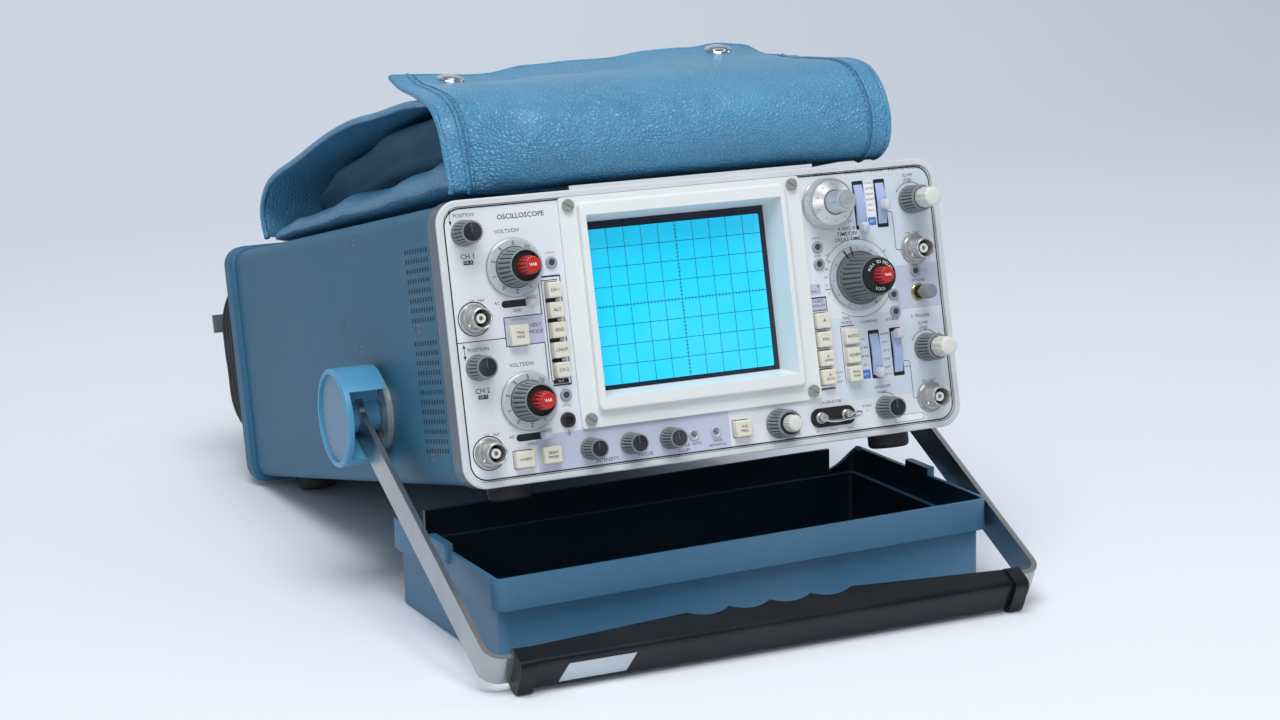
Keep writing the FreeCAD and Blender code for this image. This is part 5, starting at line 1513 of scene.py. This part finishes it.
def cover():
    """The tray: pebbled blue outside, with painted shade darkening its interior."""
    material = cover_plastic()
    repaint(["front_cover"], material)
    tree = material.node_tree
    low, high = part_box("front_cover")
    cosine, sine = math.cos(COVER_TURN), math.sin(COVER_TURN)
    middle = tree.nodes.new("ShaderNodeVectorMath")
    middle.operation = "SUBTRACT"
    middle.inputs[1].default_value = ((low[0] + high[0]) / 2, (low[1] + high[1]) / 2, 0.0)
    tree.links.new(object_place(tree), middle.inputs[0])
    reaches = [math_node(tree, "ABSOLUTE", distance_along(tree, middle.outputs["Vector"], axis), 0.0)
               for axis in ((cosine, sine, 0.0), (-sine, cosine, 0.0), (0.0, 0.0, 1.0))]
    interior_shade_masks = []
    for half_width, half_depth, floor in COVER_HALVES:
        mask = math_node(tree, "MULTIPLY", math_node(tree, "LESS_THAN", reaches[0], half_width * MM),
                         math_node(tree, "LESS_THAN", reaches[1], half_depth * MM))
        interior_shade_masks.append(math_node(tree, "MULTIPLY", mask,
                               math_node(tree, "GREATER_THAN", reaches[2], floor * MM)))
    shaded_interior = math_node(tree, "MAXIMUM", interior_shade_masks[0], interior_shade_masks[1])
    shader = tree.nodes["Principled BSDF"]
    source = shader.inputs["Base Color"].links[0].from_socket
    # Painted shade: a near-black blue is mixed into the tray's interior, where the instrument's shadow falls.
    tree.links.new(mixed_colour(tree, shaded_interior, source, rgba(linear(14, 36, 50))),
                   shader.inputs["Base Color"])


# ---- storage pouch ------------------------------------------------------------------------------

POUCH_LEFT, POUCH_RIGHT = -126.0, 113.0
POUCH_CORE = (30.0, 150.0)
FLAP_LEFT = ((90, 215.5), (81, 211.0), (71, 207.0), (55, 202.0), (34, 194.0), (23, 182.0),
             (18.5, 166.0), (16.5, 152.0), (18.0, 148.5))
FLAP_MIDDLE = ((91, 213.5), (82, 210.0), (72, 207.2), (58, 205.4), (43, 203.6), (26, 200.5),
               (11, 194.0), (0, 186.0), (-5.5, 176.0), (-5.5, 165.0), (0, 155.0), (8, 149.5),
               (16, 147.6))
FLAP_RIGHT = ((90, 210.0), (82, 207.5), (72, 205.8), (58, 204.6), (40, 202.6), (24, 200.0),
              (10, 195.0), (0, 186.0), (-5.5, 174.0), (-6.0, 163.0), (-1.5, 153.0), (8, 147.8),
              (15, 147.0))
FLAP_SECTIONS = ((-126, FLAP_LEFT), (-84, FLAP_MIDDLE), (58, FLAP_MIDDLE), (113, FLAP_RIGHT))
FLAP_RISE = ((-126, 0.0), (-100, 0.5), (-72, -0.5), (-48, 2.0), (-25, 3.0), (-2, 2.6), (22, 4.5), (47, 5.2),
             (66, 7.5), (80, 6.5), (95, 1.0), (113, 0.0))
LID_LINE = ((40, 196.0), (80, 199.5), (148, 201.5), (224, 196.8), (288, 190.0), (334, 182.8), (354, 172.5),
            (360, 161.0), (356, 148.0))
BAG_LINE = ((16, 160.0), (30, 165.5), (100, 165.0), (171, 163.0), (240, 160.5), (290, 157.5),
            (330, 152.5), (352, 147.5))


def along(pairs, place):
    """A value read off pairs of (place, value), eased between them."""
    if place <= pairs[0][0]:
        return pairs[0][1]
    for (start, low), (end, high) in zip(pairs, pairs[1:]):
        if place <= end:
            share = (place - start) / (end - start)
            share = share * share * (3 - 2 * share)
            return low + (high - low) * share
    return pairs[-1][1]


def evened(points, count):
    """A smooth line through points with an even spacing."""
    fine = smooth_line([(p[0], p[1], 0.0) for p in points], 12)
    lengths = [0.0]
    for before, after in zip(fine, fine[1:]):
        lengths.append(lengths[-1] + (after - before).length)
    found = []
    index = 0
    for step in range(count + 1):
        target = lengths[-1] * step / count
        while index < len(fine) - 2 and lengths[index + 1] < target:
            index += 1
        span = max(lengths[index + 1] - lengths[index], 1e-9)
        found.append(fine[index].lerp(fine[index + 1], (target - lengths[index]) / span))
    return found, lengths[-1]


def ripple(x, y, z, size, strength, seed):
    """A smooth unevenness, the same each run."""
    return strength * noise.noise(Vector((x / size + seed, y / size, z / size)))


def sheet_grid(line, left, right, columns, rows, shape):
    """Rows of points over a sheet; shape moves a point by its shares down and across."""
    run, length = evened(line, rows)
    grid = []
    for row, place in enumerate(run):
        grid.append([shape(Vector((left + (right - left) * column / columns, place.x, place.y)),
                           row / rows, column / columns) for column in range(columns + 1)])
    return grid, length


def grid_piece(name, grid, thickness, material, replaced=()):
    """A sheet of a thickness over a grid of points, rounded and smooth."""
    moulding = Moulding()
    moulding.rings([[tuple(point) for point in row] for row in grid], 0, (False, False), False)
    made = moulding.piece(name, "case", [material], replaced, sharp=180.0)
    solid = made.modifiers.new("Thickness", "SOLIDIFY")
    solid.thickness = thickness
    solid.offset = 0.0
    solid.use_rim = True
    return smoothed(made)


def smoothed(made):
    """Round a piece off, and apply all its modifiers to its mesh."""
    smooth = made.modifiers.new("Smooth", "SUBSURF")
    smooth.levels = 1
    smooth.render_levels = 1
    bpy.context.view_layer.update()
    shaped = bpy.data.meshes.new_from_object(made.evaluated_get(bpy.context.evaluated_depsgraph_get()))
    shaped.name = made.name
    made.modifiers.clear()
    made.data = shaped
    return made


def flap_points(columns, rows):
    """The flap's grid: its sections eased into each other, a waving free edge and a slack front."""
    lines = [(x, evened(points, rows)) for x, points in FLAP_SECTIONS]
    grid = []
    for row in range(rows + 1):
        down = row / rows
        free = max(0.0, 1.0 - down / 0.42)
        across_row = []
        for column in range(columns + 1):
            x = POUCH_LEFT + (POUCH_RIGHT - POUCH_LEFT) * column / columns
            y = along([(at, line[0][row].x) for at, line in lines], x)
            z = along([(at, line[0][row].y) for at, line in lines], x)
            slack = math.sin(math.pi * min(max((down - 0.3) / 0.7, 0.0), 1.0))
            z += along(FLAP_RISE, x) * free ** 0.8 + ripple(x, y, z, 38.0, 1.5, 1.7) * (0.3 + 0.7 * free)
            y += ripple(x, y, z, 60.0, 2.4, 4.2) * slack
            across_row.append(Vector((x, y, z)))
        grid.append(across_row)
    return grid, lines[1][1][1]


def lid_shape(place, down, across):
    """The upper layer: it arches from under the flap to the rear edge of the cabinet's top."""
    x, y, z = place
    end = min(across, 1.0 - across)
    droop = -3.0 * math.exp(-end * 18.0) * math.sin(math.pi * down)
    crown = 3.0 * math.sin(math.pi * across) * math.sin(math.pi * min(down * 1.15, 1.0))
    wave = ripple(x, y, z, 60.0, 2.6, 7.9) * math.sin(math.pi * min(down + 0.1, 1.0))
    return Vector((x, y, z + droop + crown + wave))


def welt(moulding, grid, column_share, lift, radius, finish_index=0):
    """A raised welt down a sheet at a share of its width."""
    columns = len(grid[0]) - 1
    tube(moulding, [on_sheet(grid, row, column_share * columns, lift) for row in range(len(grid))],
         radius, finish_index, 8)


def on_sheet(grid, row, column, lift):
    """A point a little above a sheet's outer side, which faces away from the pouch's core."""
    low = int(min(column, len(grid[0]) - 2))
    share = column - low
    here = grid[row][low].lerp(grid[row][low + 1], share)
    across = grid[row][low + 1] - grid[row][low]
    before, after = grid[max(row - 1, 0)], grid[min(row + 1, len(grid) - 1)]
    down = after[low] - before[low]
    normal = across.cross(down).normalized()
    if normal.dot(here - Vector((here.x, *POUCH_CORE))) < 0:
        normal = -normal
    return here + normal * lift


def stitches(moulding, points, pitch, radius, finish_index):
    """Single stitches along a line of points."""
    travelled = 0.0
    start = None
    for before, after in zip(points, points[1:]):
        step = (after - before).length
        phase = travelled % pitch
        if phase < pitch * 0.3 and start is None:
            start = before
        if start is not None and phase >= pitch * 0.62:
            tube(moulding, [start, start.lerp(before, 0.5), before], radius, finish_index, 5)
            start = None
        travelled += step


def fine_run(points, step=0.8):
    """Points along a line at a short, even step."""
    found = []
    for before, after in zip(points, points[1:]):
        count = max(1, int((after - before).length / step))
        found += [before.lerp(after, index / count) for index in range(count)]
    return found + [points[-1]]


def pouch():
    """The storage pouch: bag, inner folds, upper layer and front flap with welts and snaps."""
    thickness = sizes().flap_thickness
    vinyl, fold_shade = pouch_vinyl(), pouch_lining()
    flap_grid, flap_length = flap_points(64, 44)
    flap = grid_piece("pouch_flap", flap_grid, thickness, vinyl, ["storage_pouch"])
    lid_grid, lid_length = sheet_grid(LID_LINE, POUCH_LEFT + 0.5, POUCH_RIGHT - 3.0, 48, 48, lid_shape)
    lid = grid_piece("pouch_lid", lid_grid, thickness, vinyl)
    bag = pouch_bag(vinyl)
    folds = pouch_folds(fold_shade)
    edge = Moulding()
    pitch = sizes().stitch_pitch / MM
    half = thickness / MM / 2
    for share, inwards in ((0.038, 1), (0.962, -1)):
        welt(edge, flap_grid, share, half - 0.1, 1.15)
        welt(edge, flap_grid, share + 0.0065 * inwards, half - 0.15, 0.5, 1)
        columns = len(flap_grid[0]) - 1
        seam = [on_sheet(flap_grid, row, (share + 0.013 * inwards) * columns, half + 0.15)
                for row in range(len(flap_grid))]
        stitches(edge, fine_run(seam), pitch, 0.36, 1)
    for share in (0.0, 1.0):
        welt(edge, flap_grid, share, 0.0, 1.6)
    tube(edge, flap_grid[0], 1.5, 0, 8)
    for share in (0.0, 1.0):
        welt(edge, lid_grid, share, 0.0, 1.9)
    columns = len(lid_grid[0]) - 1
    for share in (0.03, 0.97):
        seam = [on_sheet(lid_grid, row, share * columns, half + 0.25) for row in range(4, len(lid_grid))]
        stitches(edge, fine_run(seam), pitch, 0.42, 1)
    trim = edge.piece("pouch_trim", "case", [vinyl, thread()], sharp=60.0)
    snaps = Moulding()
    for share, row in ((0.125, 3), (0.782, 3)):
        snap_head(snaps, flap_grid, row, share, half)
    snap = snaps.piece("pouch_snaps", "case", [bright_chrome()])


def snap_head(moulding, grid, row, share, half):
    """A domed snap on the flap."""
    column = share * (len(grid[0]) - 1)
    foot = on_sheet(grid, row, column, half)
    normal = (on_sheet(grid, row, column, half + 1.0) - foot).normalized()
    side = normal.orthogonal().normalized()
    over = normal.cross(side)
    rings = []
    for height, radius in ((-0.6, 7.6), (0.5, 7.6), (1.0, 7.2), (1.3, 6.1), (1.8, 5.2), (2.3, 3.4),
                           (2.5, 1.5), (2.55, 0.05)):
        rings.append([tuple(foot + normal * height + (side * c + over * s) * radius)
                      for c, s in circle(32)])
    moulding.rings(rings)


def section(left, right, low, high, count_side, count_top, crown):
    """A rounded section across the pouch, as (x, z), from its left foot over to its right foot."""
    found = []
    tall = high - low
    edge = min(tall * 0.55, 14.0)
    for step in range(count_side + 1):
        angle = math.pi / 2 * step / count_side
        found.append((left + edge - edge * math.cos(angle), high - edge + edge * math.sin(angle)))
    for step in range(1, count_top):
        share = step / count_top
        found.append((left + edge + (right - left - 2 * edge) * share,
                      high + crown * math.sin(math.pi * share)))
    for step in range(count_side + 1):
        angle = math.pi / 2 * (1 - step / count_side)
        found.append((right - edge + edge * math.cos(angle), high - edge + edge * math.sin(angle)))
    return [(left + 1.0, low)] + found + [(right - 1.0, low)]


def pouch_bag(material):
    """The lower bag, slack and a little crumpled, lying on the cabinet."""
    moulding = Moulding()
    run = evened(BAG_LINE, 42)[0]
    rings = []
    for place in run:
        low = CASE_TOP + 0.5 if place.x > 15.5 else FRAME_HEIGHT + 0.4
        ring = []
        for x, z in section(POUCH_LEFT + 2.0, POUCH_RIGHT - 3.0, low, max(place.y, low + 3.0), 6, 30, 1.5):
            up = (z - low) / max(place.y - low, 1.0)
            ring.append((x + ripple(x, place.x, z, 24.0, 2.4, 2.5) * up,
                         place.x,
                         z + ripple(x, place.x, z, 34.0, 3.4, 9.3) * up - 2.0 * up
                         * max(0.0, math.sin(place.x / 44.0 + x / 70.0))))
        rings.append(ring)
    moulding.rings(rings)
    return smoothed(moulding.piece("pouch_bag", "case", [material], sharp=180.0))


def pouch_folds(material):
    """The folded gusset between the bag and the upper layer, set in from both ends, darkened as painted
    shade.
    """
    moulding = Moulding()
    rings = []
    for step in range(33):
        y = 30.0 + 318.0 * step / 32
        top = along(((30, 196.0), (180, 195.5), (297, 184.0), (338, 172.0), (350, 156.0)), y)
        low = along(((30, 160.0), (180, 158.0), (290, 152.0), (350, 148.0)), y)
        ring = []
        for x, z in section(POUCH_LEFT + 22.0, POUCH_RIGHT - 22.0, low, max(top, low + 3.0), 6, 12, 0.0):
            up = (z - low) / max(top - low, 1.0)
            tuck = 15.0 * math.sin(math.pi * up) * (1 if x < 0 else -1)
            ring.append((x + tuck + ripple(x, y, z, 30.0, 3.0, 5.5), y, z))
        rings.append(ring)
    moulding.rings(rings)
    return smoothed(moulding.piece("pouch_folds", "case", [material], sharp=180.0))


# ---- stage --------------------------------------------------------------------------------------

SWEEP_ACROSS = (-4.5, -1.5, 0.0, 1.5, 4.5)
SWEEP_START, SWEEP_BEND = 1.2, 1.2
EYE_PLACE = (-0.5958, -1.4241, 0.4445)
EYE_DEGREES = (77.404, 1.230, -24.374)
LENS_LENGTH = 77.06


def backdrop_paper():
    """Seamless pale paper."""
    material = bpy.data.materials.new("Backdrop Paper")
    material.use_nodes = True
    tree = material.node_tree
    shader = tree.nodes["Principled BSDF"]
    shader.inputs["Roughness"].default_value = 0.8
    shader.inputs["Specular IOR Level"].default_value = 0.1
    shader.inputs["Base Color"].default_value = rgba(linear(238, 243, 251))
    return material


def sweep_floor():
    """The floor and the backdrop in one sweep."""
    profile = [(-2.6, 0.0), (-1.0, 0.0), (0.0, 0.0), (SWEEP_START, 0.0)]
    for step in range(1, 13):
        angle = math.pi / 2 * step / 12
        profile.append((SWEEP_START + SWEEP_BEND * math.sin(angle),
                        SWEEP_BEND - SWEEP_BEND * math.cos(angle)))
    profile += [(2.4, 2.0), (2.4, 3.4)]
    mesh = bpy.data.meshes.new("studio_sweep")
    points = [(x, y, z) for y, z in profile for x in SWEEP_ACROSS]
    count = len(SWEEP_ACROSS)
    faces = []
    for row in range(len(profile) - 1):
        for column in range(count - 1):
            start = row * count + column
            faces.append((start, start + 1, start + count + 1, start + count))
    mesh.from_pydata(points, [], faces)
    mesh.polygons.foreach_set("use_smooth", [True] * len(mesh.polygons))
    mesh.materials.append(backdrop_paper())
    floor = bpy.data.objects.new("studio_sweep", mesh)
    bpy.context.scene.collection.objects.link(floor)


def soft_light(name, place, aim, width, height, power, tint):
    """A soft box that points at a place."""
    lamp = bpy.data.lights.new(name, "AREA")
    lamp.shape = "RECTANGLE"
    lamp.size = width
    lamp.size_y = height
    lamp.energy = power
    lamp.color = tint
    holder = bpy.data.objects.new(name, lamp)
    holder.location = place
    holder.rotation_euler = (Vector(aim) - Vector(place)).to_track_quat("-Z", "Y").to_euler()
    bpy.context.scene.collection.objects.link(holder)


def stage():
    """The sweep, the soft lights and the air round them."""
    scene = bpy.context.scene
    sweep_floor()
    soft_light("soft_box_top", (-0.35, -0.85, 1.9), (0.0, -0.05, 0.1), 1.4, 1.1, 33.0, (0.98, 0.99, 1.0))
    soft_light("soft_box_front", (-0.9, -2.0, 0.9), (0.0, -0.1, 0.12), 1.0, 0.7, 7.0, (0.97, 0.99, 1.0))
    soft_light("soft_box_right", (1.9, -0.5, 1.0), (0.1, -0.1, 0.1), 1.0, 0.9, 4.0, (0.97, 0.99, 1.0))
    soft_light("backdrop_light", (0.7, 0.7, 2.1), (0.9, 2.4, 0.9), 3.0, 0.6, 12.0, (0.95, 0.98, 1.0))
    world = bpy.data.worlds.new("studio_air")
    world.use_nodes = True
    air = world.node_tree.nodes["Background"]
    air.inputs["Color"].default_value = (0.86, 0.92, 1.0, 1.0)
    air.inputs["Strength"].default_value = 0.24
    scene.world = world
    scene.view_settings.view_transform = "Standard"


def camera():
    """The camera at the low left front, turned to the instrument."""
    lens = bpy.data.cameras.new("camera")
    lens.lens = LENS_LENGTH
    lens.sensor_width = 36.0
    lens.clip_start = 0.05
    eye = bpy.data.objects.new("camera", lens)
    eye.location = EYE_PLACE
    eye.rotation_euler = tuple(math.radians(angle) for angle in EYE_DEGREES)
    bpy.context.scene.collection.objects.link(eye)
    bpy.context.scene.camera = eye


# ---- operators, one for each piece or group of like pieces --------------------------------------

class MakeStage(bpy.types.Operator):
    """Build the camera, the sweep and the soft lights"""
    bl_idname = "scope.make_stage"
    bl_label = "Stage and camera"

    def execute(self, context):
        camera()
        stage()
        return {"FINISHED"}


class MakeCord(bpy.types.Operator):
    """Wind the mains cord on its posts, with its relief and plug"""
    bl_idname = "scope.make_cord"
    bl_label = "Mains cord"

    def execute(self, context):
        mains_cord()
        return {"FINISHED"}


class MakeCabinet(bpy.types.Operator):
    """Finish the cabinet, frame, feet and chassis"""
    bl_idname = "scope.make_cabinet"
    bl_label = "Cabinet"

    def execute(self, context):
        cabinet()
        return {"FINISHED"}


class MakePanel(bpy.types.Operator):
    """Finish and print the front panel"""
    bl_idname = "scope.make_panel"
    bl_label = "Front panel"

    def execute(self, context):
        front_panel()
        return {"FINISHED"}


class MakeDisplay(bpy.types.Operator):
    """Finish the bezel and light the display with its graticule"""
    bl_idname = "scope.make_display"
    bl_label = "Display"

    def execute(self, context):
        display()
        return {"FINISHED"}


class MakeKnobs(bpy.types.Operator):
    """Build the fluted knobs, dials and caps"""
    bl_idname = "scope.make_knobs"
    bl_label = "Knobs and dials"

    def execute(self, context):
        small_knobs()
        channel_dials()
        time_dial()
        delay_dial()
        level_knobs()
        return {"FINISHED"}


class MakeButtons(bpy.types.Operator):
    """Build the push buttons"""
    bl_idname = "scope.make_buttons"
    bl_label = "Buttons"

    def execute(self, context):
        buttons()
        return {"FINISHED"}


class MakeLevers(bpy.types.Operator):
    """Build the lever switches and their tracks"""
    bl_idname = "scope.make_levers"
    bl_label = "Levers"

    def execute(self, context):
        levers()
        return {"FINISHED"}


class MakeFittings(bpy.types.Operator):
    """Build the sockets, lamps, adjusters, jack and calibrator"""
    bl_idname = "scope.make_fittings"
    bl_label = "Sockets and lamps"

    def execute(self, context):
        input_sockets()
        lamps_and_jack()
        calibrator()
        return {"FINISHED"}


class MakeRear(bpy.types.Operator):
    """Finish the rear panel and its posts"""
    bl_idname = "scope.make_rear"
    bl_label = "Rear panel"

    def execute(self, context):
        rear_panel()
        return {"FINISHED"}


class MakeHandle(bpy.types.Operator):
    """Finish the handle's bar, grip and hubs"""
    bl_idname = "scope.make_handle"
    bl_label = "Handle"

    def execute(self, context):
        handle()
        return {"FINISHED"}


class MakeCover(bpy.types.Operator):
    """Finish the front cover"""
    bl_idname = "scope.make_cover"
    bl_label = "Front cover"

    def execute(self, context):
        cover()
        return {"FINISHED"}


class MakePouch(bpy.types.Operator):
    """Build the storage pouch with its flap, welts and snaps"""
    bl_idname = "scope.make_pouch"
    bl_label = "Storage pouch"

    def execute(self, context):
        pouch()
        return {"FINISHED"}


MAKERS = (MakeStage, MakeCord, MakeCabinet, MakePanel, MakeDisplay, MakeKnobs, MakeButtons, MakeLevers,
          MakeFittings, MakeRear, MakeHandle, MakeCover, MakePouch)


class ScopePanel(bpy.types.Panel):
    """The oscilloscope's pieces, colours and sizes"""
    bl_idname = "VIEW3D_PT_oscilloscope"
    bl_label = "Oscilloscope"
    bl_space_type = "VIEW_3D"
    bl_region_type = "UI"
    bl_category = "Oscilloscope"

    def draw(self, context):
        column = self.layout.column()
        for maker in MAKERS:
            column.operator(maker.bl_idname)
        for group in (context.scene.scope_colours, context.scene.scope_sizes):
            for label in group.bl_rna.properties.keys():
                if label not in ("rna_type", "name"):
                    column.prop(group, label)


def register():
    for kind in (ScopeColours, ScopeSizes) + MAKERS + (ScopePanel,):
        bpy.utils.register_class(kind)
    bpy.types.Scene.scope_colours = PointerProperty(type=ScopeColours)
    bpy.types.Scene.scope_sizes = PointerProperty(type=ScopeSizes)


def unregister():
    del bpy.types.Scene.scope_sizes
    del bpy.types.Scene.scope_colours
    for kind in (ScopePanel,) + MAKERS[::-1] + (ScopeSizes, ScopeColours):
        bpy.utils.unregister_class(kind)


def main():
    register()
    for maker in MAKERS:
        module, label = maker.bl_idname.split(".")
        getattr(getattr(bpy.ops, module), label)()


if __name__ == "__main__":
    main()
